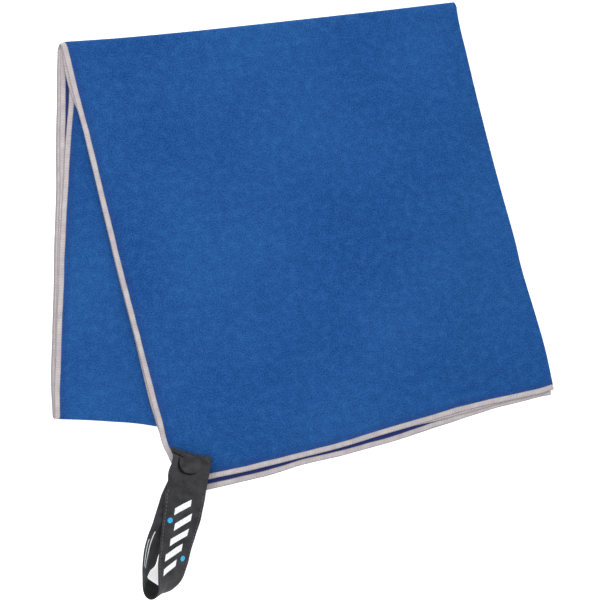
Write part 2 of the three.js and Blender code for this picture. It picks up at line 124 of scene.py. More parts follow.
# Left edges of the back layers, which lie a little askew on one another.
BACK_4_UPPER = [[-200.9, 210.4], [-201.6, 124.4], [-201.95, 66.8], [-203.3, 9.3], [-203.9, -23.6], [-204.95, -64.7], [-203.2, -94.3]]
BACK_3_LOWER = [[-198.8, 210.6], [-198.8, 165.5], [-199.2, 124.4], [-199.8, 66.8], [-201.6, 0.0], [-203.0, -64.7], [-202.9, -94.4]]
BACK_3_UPPER = [[-192.3, 211.2], [-193.2, 168.7], [-195.9, 124.4], [-198.4, 83.3], [-199.3, 66.8], [-200.9, 9.3], [-202.1, -23.6], [-203.3, -64.7], [-202.2, -94.4]]



def nudged(points, axis, keys, offsets):
    """The outline with more points, moved along one axis by offsets read at the other."""
    q = Line(points)(np.linspace(0, 1, 3 * len(points) + 4))
    q[:, axis] += np.interp(q[:, 1 - axis], keys, offsets)
    return q.tolist()


BACK_LEFT_BY = ([-97, -84, -51, -19, 0, 14, 31, 47, 63, 80, 96, 113, 129, 146, 162, 195], [-1.7, -1.6, -1.3, -1.4, -1.1, -1.0, -1.2, -1.4, -1.1, -0.7, -0.4, -0.6, -0.8, -0.6, -0.3, -0.3])
BACK_BOTTOM_BY = ([-198, -178, -165, -152, -139, -126, -60, 0], [-2.5, -2.1, -2.2, -2.7, -2.7, -2.8, -1.5, 0.0])
RIGHT_BY = ([-78, -65, -48, -32, -15, 1, 17, 34, 50, 200, 212, 220, 228, 236, 244], [0.9, 0.8, 0.6, 0.0, -0.8, -1.2, -1.5, -1.0, 0.1, 0.1, 0.0, -0.4, -0.5, 0.3, 0.9])
LOWER_HEM_BY = (
    [-73, -61, -50, -38, -27, -15, -4, 8, 19, 30, 42, 54, 65, 77, 88, 100, 111, 123, 134, 146, 157, 169, 180, 192, 203],
    [-1.2, -1.4, -1.0, -0.5, -0.4, -0.1, 0.4, 0.2, -0.2, -0.8, -0.9, -1.2, -1.5, -1.7, -1.4, -1.0, -0.1, 0.9, 1.8, 2.1, 1.7, 0.8, 0.5, 0.5, 0.5],
)
UPPER_HEM_BY = (
    [-70, -55, -43, -32, -9, 3, 30, 60, 85, 95, 106, 118, 129, 162, 190, 204],
    [-0.8, -1.1, -1.2, -0.9, -0.5, -0.2, -0.1, -0.3, -0.6, -0.7, -0.7, -0.9, -0.9, -0.9, -1.0, -1.3],
)
FRONT_LEFT_BY = (
    [-158, -150, -136, -131, -128, -126, -120, -112, -98, -81, -40, 1, 17, 34, 67, 84, 100, 132, 149, 165],
    [3.6, 3.8, 4.3, 3.2, 0.7, -0.5, 0.0, 0.3, 0.4, 0.0, -0.2, -0.5, -0.6, -0.5, 0.0, 0.0, 0.4, 0.7, 0.7, 0.0],
)
UNDER_LEFT_BY = ([-98, -81, -40, 1, 17, 34, 67, 84, 100, 132, 149, 165], [0.6, 0.0, -0.2, -0.5, -0.6, -0.5, 0.0, 0.0, 0.4, 0.7, 0.7, 0.0])
for line in (BACK["left"], BACK_4_UPPER, BACK_3_LOWER, BACK_3_UPPER):
    line[-1][1] -= 2.5
BACK = {"left": nudged(BACK["left"], 0, *BACK_LEFT_BY), "right": BACK["right"], "bottom": nudged(BACK["bottom"], 1, *BACK_BOTTOM_BY)}
BACK_4_UPPER = nudged(BACK_4_UPPER, 0, *BACK_LEFT_BY)
BACK_3_LOWER = nudged(nudged(BACK_3_LOWER, 0, *BACK_LEFT_BY), 0, [100, 160, 200], [0.0, -0.3, -0.2])
BACK_3_UPPER = nudged(nudged(BACK_3_UPPER, 0, *BACK_LEFT_BY), 0, [-95, -71, -58, -45, -32, -5, 34, 47, 60, 73, 86, 100, 113, 126, 145, 165, 205], [0.0, 0.3, 0.9, 1.1, 0.8, 0.7, 0.9, 1.5, 1.6, 1.3, 1.0, 0.9, 0.8, 0.9, 1.0, 1.3, 0.3])
FRONT_OUTER = {
    "left": nudged(FRONT_OUTER["left"], 0, *FRONT_LEFT_BY), "right": nudged(FRONT_OUTER["right"], 0, *RIGHT_BY),
    "bottom": nudged(FRONT_OUTER["bottom"], 1, *UPPER_HEM_BY),
}
FRONT_INNER = {
    "left": nudged(FRONT_INNER["left"], 0, *FRONT_LEFT_BY), "right": nudged(FRONT_INNER["right"], 0, *RIGHT_BY),
    "bottom": nudged(FRONT_INNER["bottom"], 1, *LOWER_HEM_BY),
}

CLOTH = 0.95  # thickness of a layer
MIDDLES = {1: 0.475, 2: 1.725, 3: 2.975, 4: 4.225, 5: 5.475, 6: 6.725, 7: 7.975, 8: 9.225}
TOP_Z, FOLD_Z = 4.85, 2.35  # middles of the top fold and of the back's bottom fold
TOP = np.array([[-201.68, 210.38], [125.07, 244.38]])
TOP_DIR = unit(TOP[1] - TOP[0])
TOP_OUT = np.array([-TOP_DIR[1], TOP_DIR[0]])
HEM_POINT = np.array([-95.06, -153.06])
A = np.array([-math.sin(math.radians(10)), -math.cos(math.radians(10))])  # along the strap, away from the towel
B = np.array([math.cos(math.radians(10)), -math.sin(math.radians(10))])  # to the strap's right
SNAP_IN = 19.8
SNAP = HEM_POINT - A * SNAP_IN


def on_top_line(p):
    """The point moved onto the line of the top fold."""
    p = np.array(p, float)
    return (p + TOP_OUT * ((TOP[0] - p) @ TOP_OUT)).tolist()


BACK_OUTLINE = np.concatenate(
    [Line(BACK["left"])(np.linspace(0, 1, 60)), Line(BACK["bottom"])(np.linspace(0, 1, 60)), Line(BACK["right"][::-1])(np.linspace(0, 1, 60))]
)


def outside_back(p):
    """How far points lie outside the back's outline, and 0 inside it."""
    shape = p.shape[:-1]
    q = p.reshape(-1, 2)
    a = BACK_OUTLINE
    b = np.roll(a, -1, axis=0)
    e = b - a
    best = np.full(len(q), 1e9)
    inside = np.zeros(len(q), bool)
    for i in range(len(a)):
        w = q - a[i]
        t = np.clip((w @ e[i]) / max(e[i] @ e[i], 1e-9), 0, 1)
        d = w - t[:, None] * e[i]
        best = np.minimum(best, (d * d).sum(1))
        crosses = (a[i, 1] > q[:, 1]) != (b[i, 1] > q[:, 1])
        if crosses.any():
            x = a[i, 0] + (q[:, 1] - a[i, 1]) * e[i, 0] / (e[i, 1] if abs(e[i, 1]) > 1e-9 else 1e-9)
            inside ^= crosses & (q[:, 0] < x)
    return np.where(inside, 0.0, np.sqrt(best)).reshape(shape)


soft_field = waves([230, 150], 0.26, 7)
small_field = waves([64, 42], 0.09, 8)


def rise(p):
    """Soft unevenness of the whole stack, the same for every layer; none at the top fold."""
    down = (TOP[0] - p) @ TOP_OUT
    field = np.clip(0.42 + soft_field(p) + small_field(p), 0.0, 1.1)
    calm = 1 - np.exp(-((np.linalg.norm(p - SNAP, axis=-1) / 42) ** 4))
    return field * smooth((down - 9) / 34) * calm


def drop(p):
    """How far the front's overhang sinks towards the surface that the towel lies on."""
    down = (TOP[0] - p) @ TOP_OUT
    held = 1 - np.exp(-((np.linalg.norm(p - (HEM_POINT - A * 10), axis=-1) / 50) ** 4))
    return 4.7 * smooth(outside_back(p) / 34) * held * smooth((down - 16) / 40)


BOW = ([4, 27, 50, 73, 96, 119, 165, 212, 235, 258, 281, 305, 328], [2.6, 1.7, 0.95, 0.65, 0.45, 0.35, 0.5, 0.75, 0.9, 0.95, 1.1, 1.45, 1.75])


def bowed(p):
    """The top fold isn't quite straight: it rises a little towards its ends, and its left end sags."""
    rel = p - TOP[0]
    down, along = -(rel @ TOP_OUT), rel @ TOP_DIR
    up = np.interp(along, *BOW) * (1 - smooth(down / 70))
    sag = 3.4 * smooth((-199.1 - p[..., 0]) / 1.4) * (1 - smooth(down / 30))
    return p + TOP_OUT * (up - sag)[..., None]


class Layer:
    """One layer of cloth in one leg: an outline whose position is read by s across and t down."""

    def __init__(self, number, left, right, bottom, front):
        left, right, bottom = [np.array(x, float) for x in (left, right, bottom)]
        left[0], right[0] = on_top_line(left[0]), on_top_line(right[0])
        bottom[0], bottom[-1] = left[-1], right[-1]
        self.left, self.right, self.bottom = Line(left), Line(right), Line(bottom)
        self.z, self.front, self.number = MIDDLES[number], front, number
        # shares of the side lines that reach 4.85 mm inside the top fold
        self.t0 = [TOP_Z / abs((line(0.02) - line(0.0)) @ TOP_OUT) * 0.02 for line in (self.left, self.right)]

    def xy(self, s, t):
        s, t = np.broadcast_arrays(np.asarray(s, float), np.asarray(t, float))
        left, right, low = self.left(t), self.right(t), self.bottom(s)
        s_, t_ = s[..., None], t[..., None]
        l1, r1 = self.left(np.float64(1.0)), self.right(np.float64(1.0))
        return bowed((1 - s_) * left + s_ * right + t_ * (low - (1 - s_) * l1 - s_ * r1))

    def width(self, t):
        return np.linalg.norm(self.right(t) - self.left(t), axis=-1)

    def height(self, s):
        return self.left.length * (1 - s) + self.right.length * s

    def top_t(self, s):
        return self.t0[0] * (1 - s) + self.t0[1] * s

    def at(self, s, t):
        p = self.xy(s, t)
        z = self.z + rise(p)
        if self.front:
            z = z - drop(p)
        return np.concatenate([p, z[..., None]], axis=-1)


def moved(points, dx, dy=0.0):
    return [[x + dx, y + dy] for x, y in points]


INNER_6_LEFT = [[-199.3, 210.6], [-193.3, 178.0], [-190.9, 170.0], [-188.2, 163.0], [-185.7, 157.0], [-182.6, 146.0], [-162.9, 66.83], [-139.9, -23.59], [-116.6, -114.01], [-112.1, -126.0], [-107.4, -136.0], [-103.2, -158.4]]
INNER_6_LEFT = nudged(INNER_6_LEFT, 0, *UNDER_LEFT_BY)
inner_5_left = [[-192.3, 211.2], [-183.0, 149.03], [-162.4, 66.83], [-139.5, -23.59], [-116.2, -114.01], [-107.0, -136.0], [-102.9, -157.9]]
inner_5_left = nudged(inner_5_left, 0, *UNDER_LEFT_BY)
inner_5_bottom = [[x, y - 0.5 * math.exp(-(((x - 108) / 22) ** 2))] for x, y in FRONT_INNER["bottom"]]
LAYERS = {
    8: Layer(8, FRONT_OUTER["left"], FRONT_OUTER["right"], FRONT_OUTER["bottom"], True),
    7: Layer(7, moved(FRONT_OUTER["left"], 0.15), FRONT_OUTER["right"], [[x, y + 0.25 - 2.3 * math.exp(-(((x - 132) / 34) ** 4))] for x, y in FRONT_OUTER["bottom"]], True),
    6: Layer(6, INNER_6_LEFT, FRONT_INNER["right"], FRONT_INNER["bottom"], True),
    5: Layer(5, inner_5_left, FRONT_INNER["right"], inner_5_bottom, True),
    4: Layer(4, BACK_3_UPPER, BACK["right"], BACK["bottom"], False),
    3: Layer(3, BACK_3_LOWER, BACK["right"], BACK["bottom"], False),
    2: Layer(2, BACK_4_UPPER, BACK["right"], BACK["bottom"], False),
    1: Layer(1, BACK["left"], BACK["right"], BACK["bottom"], False),
}
FOLD_IN = 1.1  # side fold: flat cloth ends this far inside the right outline
M_IN = FOLD_IN + 1.25  # bottom fold: flat cloth ends this far inside the bottom outline
RAW_IN = 1.3  # raw edge inside the edging's outer line
CORNER = 7.0
STUB = 10.0  # length of the front legs that belongs to the top fold's piece
BACK_STUB = 4.0  # the same on the back legs, where the stack is still level

# One half of the sheet (a) is outside at the two leg pairs 8-1 and inside at 4-5, the other (b) the reverse.
HALF = {"a": (8, 1, 4, 5), "b": (7, 2, 3, 6)}
ARC_R = {"a": {"Q1": 4.375, "M": 1.875, "Q2": 0.625}, "b": {"Q1": 3.125, "M": 0.625, "Q2": 1.875}}


def top_angles(r):
    """Angles of a top-fold arc from its upper end to its lower, dense where the sheet turns between the groups."""
    w = np.linspace(0, 1, 15)
    t = 0.5 - np.sin(np.arcsin(1 - 2 * w) / 3)  # inverse of the smooth step
    dense = np.arccos((0.1 - 0.2 * t) / r)
    return np.r_[np.linspace(0, dense[0], 9)[:-1], dense, np.linspace(dense[-1], math.pi, 9)[1:]]


def top_arc(up, low, r, s):
    """Rows of points of the top fold between an upper and a lower layer, from the upper one to the lower one."""
    th = top_angles(r)[:, None]
    e_up, e_low = up.xy(s, up.top_t(s)), low.xy(s, low.top_t(s))
    k = (th / math.pi)[..., None]
    c = e_up[None] * (1 - k) + e_low[None] * k
    xy = c + TOP_OUT * (r * np.sin(th))[..., None]
    z = TOP_Z + r * np.cos(th) + 0 * s[None]
    return np.concatenate([xy, z[..., None]], axis=-1)


def bottom_arc(up, low, r, s):
    """Rows of the back's bottom fold, from the lower layer up to the upper one."""
    th = np.linspace(math.pi, 0, 13)[:, None]
    ends = [layer.xy(s, 1 - M_IN / layer.height(s)) for layer in (up, low)]
    run = unit(BACK_BOTTOM(s + 0.01) - BACK_BOTTOM(s - 0.01))
    out = np.stack([run[..., 1], -run[..., 0]], axis=-1)
    k = (th / math.pi)[..., None]
    c = ends[0][None] * (1 - k) + ends[1][None] * k
    lift = rise(c)
    xy = c + out[None] * (r * np.sin(th))[..., None]
    z = FOLD_Z + r * np.cos(th) + lift
    return np.concatenate([xy, z[..., None]], axis=-1)


BACK_BOTTOM = Line(BACK["bottom"])


def round_corner(layer, s, t):
    """Rows near the free lower left corner, drawn in to its round."""
    w, h = layer.width(t), layer.height(s)
    u, v = s * w, (1 - t) * h
    near = (u < CORNER) & (v < CORNER)
    a, b = np.clip(CORNER - u, 0, None), np.clip(CORNER - v, 0, None)
    k = np.where(near, np.maximum(a, b) / np.maximum(np.hypot(a, b), 1e-9), 1)
    return np.where(near, (CORNER - a * k) / w, s), np.where(near, 1 - (CORNER - b * k) / h, t)


NEAR = np.array([0.0, 1.2, 2.3, 3.4, 4.6, 6.6, 9.6])  # millimetres from a raw edge, where the cloth thins into its edging
COLUMNS = np.r_[NEAR / 320, np.linspace(0, 1, 66)[3:]]
HEM_ROWS = np.r_[NEAR / 330, np.linspace(0, 1, 68)[3:]]


def s_of(layer, t, s):
    """Share across, for a column s of the flat cloth between its raw edge and the side fold."""
    w = layer.width(t)
    lo, hi = RAW_IN / w, 1 - FOLD_IN / w
    return lo + (hi - lo) * s


def half_rows(half):
    """The rows of one half of the sheet, in order along the cloth, with names of their stretches."""
    n1, n4, n3, n2 = [LAYERS[k] for k in HALF[half]]
    r = ARC_R[half]
    s = COLUMNS
    out, tags = [], []

    def leg(layer, t_from, t_to, count, tag):
        for k in count if hasattr(count, "__len__") else np.linspace(0, 1, count):
            # where each row starts and ends may differ across the cloth
            guess = t_from(s) * (1 - k) + t_to(s) * k
            ss = s_of(layer, guess, s)
            tt = guess
            if layer.front:
                ss, tt = round_corner(layer, ss, tt)
            out.append(layer.at(ss, tt))
            tags.append(tag)

    def hem(layer):
        return lambda s: 1 - RAW_IN / layer.height(s)

    def stub(layer):
        return lambda s: layer.top_t(s) * (1 + STUB / TOP_Z)

    def fold(layer):
        return lambda s: 1 - M_IN / layer.height(s)

    def back_stub(layer):
        return lambda s: layer.top_t(s) * (1 + BACK_STUB / TOP_Z)

    leg(n1, hem(n1), stub(n1), HEM_ROWS, "front1")
    leg(n1, stub(n1), n1.top_t, 5, "stub1")
    arc_s = s_of(n1, n1.top_t(s), s)
    rows = top_arc(n1, n4, r["Q1"], arc_s)
    for row in rows[1:-1]:
        out.append(row)
        tags.append("arc1")
    leg(n4, n4.top_t, back_stub(n4), 3, "stub4")
    leg(n4, back_stub(n4), fold(n4), 66, "back4")
    rows = bottom_arc(n3, n4, r["M"], s_of(n4, fold(n4)(s), s))
    for row in rows[1:-1]:
        out.append(row)
        tags.append("arcM")
    leg(n3, fold(n3), back_stub(n3), 66, "back3")
    leg(n3, back_stub(n3), n3.top_t, 3, "stub3")
    rows = top_arc(n2, n3, r["Q2"], s_of(n3, n3.top_t(s), s))[::-1]
    for row in rows[1:-1]:
        out.append(row)
        tags.append("arc2")
    leg(n2, n2.top_t, stub(n2), 5, "stub2")
    leg(n2, stub(n2), hem(n2), 1 - HEM_ROWS[::-1], "front2")
    return np.array(out), tags


def sheet_grid():
    """The whole sheet: rows along the cloth, columns across it from one raw side edge to the other."""
    a, tags = half_rows("a")
    b, _ = half_rows("b")
    middle = (a[:, -1] + b[:, -1]) / 2
    n = (a[:, -1] - b[:, -1]) / 2  # from the middle surface to half a
    radius = np.linalg.norm(n, axis=1, keepdims=True)
    n = n / radius
    along = unit(np.gradient(middle, axis=0))
    out = unit(np.cross(along, n))
    right = unit(a[:, -1] - a[:, -3])
    out *= np.sign((out * right).sum(1, keepdims=True))
    turn = []
    for phi in np.linspace(0, math.pi, 9)[1:-1]:
        turn.append(middle + radius * (n * math.cos(phi) + out * math.sin(phi)))
    grid = np.concatenate([a, np.array(turn).transpose(1, 0, 2), b[:, ::-1]], axis=1)
    return grid, tags


GRID, TAGS = sheet_grid()


def grid_normals(g):
    du = np.gradient(g, axis=0)
    dv = np.gradient(g, axis=1)
    return unit(np.cross(du, dv))


NORMALS = grid_normals(GRID)
# flat coordinates of the cloth in metres, the same on every piece cut from this grid
FLAT_P = np.r_[0.32 * (1 - COLUMNS), np.linspace(0.0009, -0.0009, 7), -0.32 * (1 - COLUMNS[::-1])]
steps = np.linalg.norm(np.diff(GRID, axis=0), axis=2).mean(1)
FLAT_Q = np.r_[0, np.cumsum(steps)]
FLAT_Q *= 1.37 / FLAT_Q[-1]


# ------------------------------------------------------------------ meshes
def new_object(name, verts, faces, uvs=None, materials=(), face_material=None, normals=None, smooth_shade=True):
    """verts in layout millimetres; uvs one pair for each vertex."""
    mesh = bpy.data.meshes.new(name)
    mesh.from_pydata(((np.asarray(verts) + SHIFT) * MM).tolist(), [], [tuple(int(i) for i in f) for f in faces])
    if uvs is not None:
        layer = mesh.uv_layers.new(name="flat")
        loops = np.zeros(len(mesh.loops), np.int32)
        mesh.loops.foreach_get("vertex_index", loops)
        layer.data.foreach_set("uv", np.asarray(uvs, np.float32)[loops].ravel())
    for m in materials:
        mesh.materials.append(m)
    if face_material is not None:
        mesh.polygons.foreach_set("material_index", np.asarray(face_material, np.int32))
    if smooth_shade:
        mesh.polygons.foreach_set("use_smooth", [True] * len(mesh.polygons))
    mesh.update()
    if normals is not None:
        mesh.normals_split_custom_set_from_vertices(np.asarray(normals, float).tolist())
    obj = bpy.data.objects.new(name, mesh)
    bpy.context.scene.collection.objects.link(obj)
    return obj


class Builder:
    """Collects vertices and faces of one piece."""

    def __init__(self):
        self.v, self.f, self.uv, self.n, self.m = [], [], [], [], []
        self.count = 0

    def grid(self, points, uv, normals, material=0, flip=False, close_v=False):
        rows, cols = points.shape[:2]
        start = self.count
        self.v.append(points.reshape(-1, 3))
        self.uv.append(uv.reshape(-1, 2))
        self.n.append(normals.reshape(-1, 3))
        self.count += rows * cols
        idx = np.arange(rows * cols).reshape(rows, cols) + start
        if close_v:
            idx = np.concatenate([idx, idx[:, :1]], axis=1)
        quads = np.stack([idx[:-1, :-1], idx[1:, :-1], idx[1:, 1:], idx[:-1, 1:]], axis=-1).reshape(-1, 4)
        if flip:
            quads = quads[:, ::-1]
        self.f.append(quads)
        self.m.append(np.full(len(quads), material))
        return idx

    def strip(self, a, b, material=0, flip=False):
        """Faces between two rows of vertices already there."""
        quads = np.stack([a[:-1], a[1:], b[1:], b[:-1]], axis=-1)
        if flip:
            quads = quads[:, ::-1]
        self.f.append(quads)
        self.m.append(np.full(len(quads), material))

    def make(self, name, materials, use_normals=True):
        return new_object(
            name, np.concatenate(self.v), np.concatenate(self.f), np.concatenate(self.uv), materials,
            np.concatenate(self.m), np.concatenate(self.n) if use_normals else None,
        )


def cloth_piece(builder, rows, rim_start, rim_end, closed_sides=True):
    """A stretch of the sheet at its real thickness; rims close the raw edges only."""
    g, n = GRID[rows], NORMALS[rows]
    uv = np.stack(np.broadcast_arrays(FLAT_P[None, :], FLAT_Q[rows][:, None]), axis=-1)
    raw = np.minimum(0.32 - np.abs(uv[..., 0]), 0.685 - np.abs(uv[..., 1] - 0.685)) / MM
    half = CLOTH / 2 * (0.4 + 0.6 * smooth((raw - 2.0) / 1.6))[..., None]
    top = builder.grid(g + n * half, uv, n)
    low = builder.grid(g - n * half, uv, -n, flip=True)
    builder.strip(top[:, 0], low[:, 0], flip=True)
    builder.strip(top[:, -1], low[:, -1])
    if rim_start:
        builder.strip(top[0], low[0])
    if rim_end:
        builder.strip(top[-1], low[-1], flip=True)


tags = np.array(TAGS)
order = np.arange(len(tags))
front1 = order[tags == "front1"]
front2 = order[tags == "front2"]
fold_outer = order[(tags == "stub1") | (tags == "arc1") | (tags == "stub4")]
fold_inner = order[(tags == "stub3") | (tags == "arc2") | (tags == "stub2")]
back_rows = order[(tags == "back4") | (tags == "arcM") | (tags == "back3")]


# ------------------------------------------------------------------ materials
def material(name):
    m = bpy.data.materials.new(name)
    m.use_nodes = True
    nodes, links = m.node_tree.nodes, m.node_tree.links
    return m, nodes, links, nodes["Principled BSDF"]


def srgb(r, g, b):
    def lin(c):
        c = c / 255
        return c / 12.92 if c <= 0.04045 else ((c + 0.055) / 1.055) ** 2.4

    return (lin(r), lin(g), lin(b), 1.0)


def noise(nodes, links, vector, scale, detail=2.0, rough=0.5, distortion=0.0):
    n = nodes.new("ShaderNodeTexNoise")
    n.inputs["Scale"].default_value = scale
    n.inputs["Detail"].default_value = detail
    n.inputs["Roughness"].default_value = rough
    n.inputs["Distortion"].default_value = distortion
    links.new(vector, n.inputs["Vector"])
    return n.outputs["Fac"]


def ramp(nodes, links, fac, stops):
    r = nodes.new("ShaderNodeValToRGB")
    while len(r.color_ramp.elements) < len(stops):
        r.color_ramp.elements.new(0.5)
    for e, (pos, col) in zip(r.color_ramp.elements, stops):
        e.position, e.color = pos, col
    links.new(fac, r.inputs["Fac"])
    return r.outputs["Color"]


def mix(nodes, links, fac, a, b, kind="MIX"):
    n = nodes.new("ShaderNodeMix")
    n.data_type, n.blend_type = "RGBA", kind
    for value, key in ((fac, 0), (a, 6), (b, 7)):
        if hasattr(value, "links") or isinstance(value, bpy.types.NodeSocket):
            links.new(value, n.inputs[key])
        else:
            n.inputs[key].default_value = value
    return n.outputs[2]


def math_node(nodes, links, op, a, b=None, clamp=False):
    n = nodes.new("ShaderNodeMath")
    n.operation, n.use_clamp = op, clamp
    for i, value in enumerate((a, b)):
        if value is None:
            continue
        if isinstance(value, bpy.types.NodeSocket):
            links.new(value, n.inputs[i])
        else:
            n.inputs[i].default_value = value
    return n.outputs[0]


def bump(nodes, links, height, strength, distance, normal=None):
    n = nodes.new("ShaderNodeBump")
    n.inputs["Strength"].default_value = strength
    n.inputs["Distance"].default_value = distance
    links.new(height, n.inputs["Height"])
    if normal is not None:
        links.new(normal, n.inputs["Normal"])
    return n.outputs["Normal"]


def uv_of(nodes):
    n = nodes.new("ShaderNodeUVMap")
    n.uv_map = "flat"
    return n.outputs["UV"]


def scaled(nodes, links, vector, x, y):
    n = nodes.new("ShaderNodeMapping")
    n.inputs["Scale"].default_value = (x, y, 1)
    links.new(vector, n.inputs["Vector"])
    return n.outputs["Vector"]


def cloth_material():
    m, nodes, links, p = material("suede_microfibre")
    uv = uv_of(nodes)
    nap = noise(nodes, links, uv, 150, 4.0, 0.62, 0.25)  # brushed patches of about 5 mm
    broad = noise(nodes, links, uv, 9, 2.0, 0.5)  # slow tone changes over the sheet
    grain = noise(nodes, links, uv, 900, 2.0, 0.7)  # short fibres
    base = ramp(nodes, links, nap, [(0.30, srgb(0, 42, 105)), (0.50, srgb(13, 66, 133)), (0.70, srgb(40, 93, 156))])
    base = mix(nodes, links, 0.45, base, ramp(nodes, links, broad, [(0.36, srgb(1, 52, 120)), (0.64, srgb(30, 83, 146))]))
    base = mix(nodes, links, 0.42, base, ramp(nodes, links, grain, [(0.32, srgb(0, 28, 88)), (0.68, srgb(55, 113, 171))]))
    # painted shade: close to the raw edges the cloth is darkened for the shade in the crevice beside the edging, more
    # on the half whose edges lie between other layers
    sep = nodes.new("ShaderNodeSeparateXYZ")
    links.new(uv, sep.inputs[0])
    side = math_node(nodes, links, "SUBTRACT", 0.32, math_node(nodes, links, "ABSOLUTE", sep.outputs[0]))
    end = math_node(nodes, links, "SUBTRACT", 0.685, math_node(nodes, links, "ABSOLUTE", math_node(nodes, links, "SUBTRACT", sep.outputs[1], 0.685)))
    edge = math_node(nodes, links, "MINIMUM", side, end)
    raw_edge_shade = math_node(nodes, links, "MULTIPLY", math_node(nodes, links, "SUBTRACT", 0.0095, edge), 300.0, clamp=True)
    inside = math_node(nodes, links, "LESS_THAN", sep.outputs[0], 0.0)  # the half whose edges lie between other layers
    share = math_node(nodes, links, "ADD", math_node(nodes, links, "MULTIPLY", inside, 0.62), 0.25)
    base = mix(nodes, links, math_node(nodes, links, "MULTIPLY", raw_edge_shade, share), base, srgb(36, 42, 96))
    links.new(base, p.inputs["Base Color"])
    p.inputs["Roughness"].default_value = 0.92
    p.inputs["Specular IOR Level"].default_value = 0.12
    p.inputs["Sheen Weight"].default_value = 0.16
    p.inputs["Sheen Roughness"].default_value = 0.45
    p.inputs["Sheen Tint"].default_value = srgb(150, 190, 235)
    height = mix(nodes, links, 0.45, nap, grain)
    links.new(bump(nodes, links, height, 0.35, 0.0005), p.inputs["Normal"])
    return m


PITCH_M = 0.0013


def thread_material(name, dark, mid, light, edge_shade_colour=None):
    m, nodes, links, p = material(name)
    uv = uv_of(nodes)  # x along the edge, y across it, metres
    blotch = noise(nodes, links, uv, 130, 2.0, 0.6)
    fine = noise(nodes, links, scaled(nodes, links, uv, 1.0, 0.35), 1900, 3.0, 0.7)
    base = ramp(nodes, links, blotch, [(0.33, dark), (0.5, mid), (0.68, light)])
    base = mix(nodes, links, 0.3, base, ramp(nodes, links, fine, [(0.3, tuple(c * 0.62 for c in mid[:3]) + (1.0,)), (0.7, tuple(min(1, c * 1.25) for c in mid[:3]) + (1.0,))]))
    # painted shade: dark lines along both sides of the edging, where it meets the cloth and the next edging, and dark
    # grooves between the thread's turns
    if edge_shade_colour:
        sep = nodes.new("ShaderNodeSeparateXYZ")
        links.new(uv, sep.inputs[0])
        w = math_node(nodes, links, "MULTIPLY", math_node(nodes, links, "MODULO", sep.outputs[1], 0.01), 1000.0)
        outer = math_node(nodes, links, "SUBTRACT", 1.0, math_node(nodes, links, "MULTIPLY", w, 1.0), clamp=True)
        inner = math_node(nodes, links, "MULTIPLY", math_node(nodes, links, "SUBTRACT", w, 4.0), 1.35, clamp=True)
        base = mix(nodes, links, math_node(nodes, links, "MULTIPLY", math_node(nodes, links, "MAXIMUM", outer, inner), 0.72), base, edge_shade_colour)
        turn = math_node(nodes, links, "ADD", math_node(nodes, links, "MULTIPLY", sep.outputs[0], 2 * math.pi / (PITCH_M)), math_node(nodes, links, "MULTIPLY", w, 0.5))
        groove_shade = math_node(nodes, links, "SUBTRACT", math_node(nodes, links, "MULTIPLY", math_node(nodes, links, "COSINE", turn), -0.5), 0.1, clamp=True)
        base = mix(nodes, links, groove_shade, base, edge_shade_colour)
    links.new(base, p.inputs["Base Color"])
    p.inputs["Roughness"].default_value = 0.78
    p.inputs["Specular IOR Level"].default_value = 0.25
    p.inputs["Sheen Weight"].default_value = 0.12
    p.inputs["Sheen Roughness"].default_value = 0.4
    links.new(bump(nodes, links, fine, 0.5, 0.0003), p.inputs["Normal"])
    return m


def ribbon_material(name, dark, light, roughness):
    """Woven nylon ribbon: fine ribs across the width, UV in metres (x along, y across)."""
    m, nodes, links, p = material(name)
    uv = uv_of(nodes)
    sep = nodes.new("ShaderNodeSeparateXYZ")
    links.new(uv, sep.inputs[0])
    ribs = math_node(nodes, links, "SINE", math_node(nodes, links, "MULTIPLY", sep.outputs[0], 2 * math.pi / 0.0009))
    warp = math_node(nodes, links, "SINE", math_node(nodes, links, "MULTIPLY", sep.outputs[1], 2 * math.pi / 0.0011))
    weave = math_node(nodes, links, "MULTIPLY", ribs, warp)
    weave = math_node(nodes, links, "ADD", math_node(nodes, links, "MULTIPLY", weave, 0.5), math_node(nodes, links, "MULTIPLY", ribs, 0.3))
    cloud = noise(nodes, links, uv, 110, 3.0, 0.6)
    fibre = noise(nodes, links, uv, 1500, 2.0, 0.6)
    base = ramp(nodes, links, cloud, [(0.36, dark), (0.64, light)])
    lines = math_node(nodes, links, "ADD", math_node(nodes, links, "MULTIPLY", weave, 0.5), 0.5, clamp=True)
    base = mix(nodes, links, 0.28, base, ramp(nodes, links, lines, [(0.1, tuple(c * 0.45 for c in dark[:3]) + (1.0,)), (0.9, tuple(c * 1.7 for c in light[:3]) + (1.0,))]))
    base = mix(nodes, links, 0.15, base, ramp(nodes, links, fibre, [(0.3, dark), (0.7, light)]))
    links.new(base, p.inputs["Base Color"])
    p.inputs["Roughness"].default_value = roughness
    p.inputs["Specular IOR Level"].default_value = 0.16
    p.inputs["Sheen Weight"].default_value = 0.04
    links.new(bump(nodes, links, weave, 0.4, 0.00012), p.inputs["Normal"])
    return m


def print_material(name, colour, low):
    m, nodes, links, p = material(name)
    uv = uv_of(nodes)
    wear = noise(nodes, links, uv, 700, 3.0, 0.7)
    base = ramp(nodes, links, wear, [(0.28, low), (0.5, colour)])
    links.new(base, p.inputs["Base Color"])
    p.inputs["Roughness"].default_value = 0.55
    p.inputs["Specular IOR Level"].default_value = 0.3
    links.new(bump(nodes, links, wear, 0.2, 0.0001), p.inputs["Normal"])
    return m


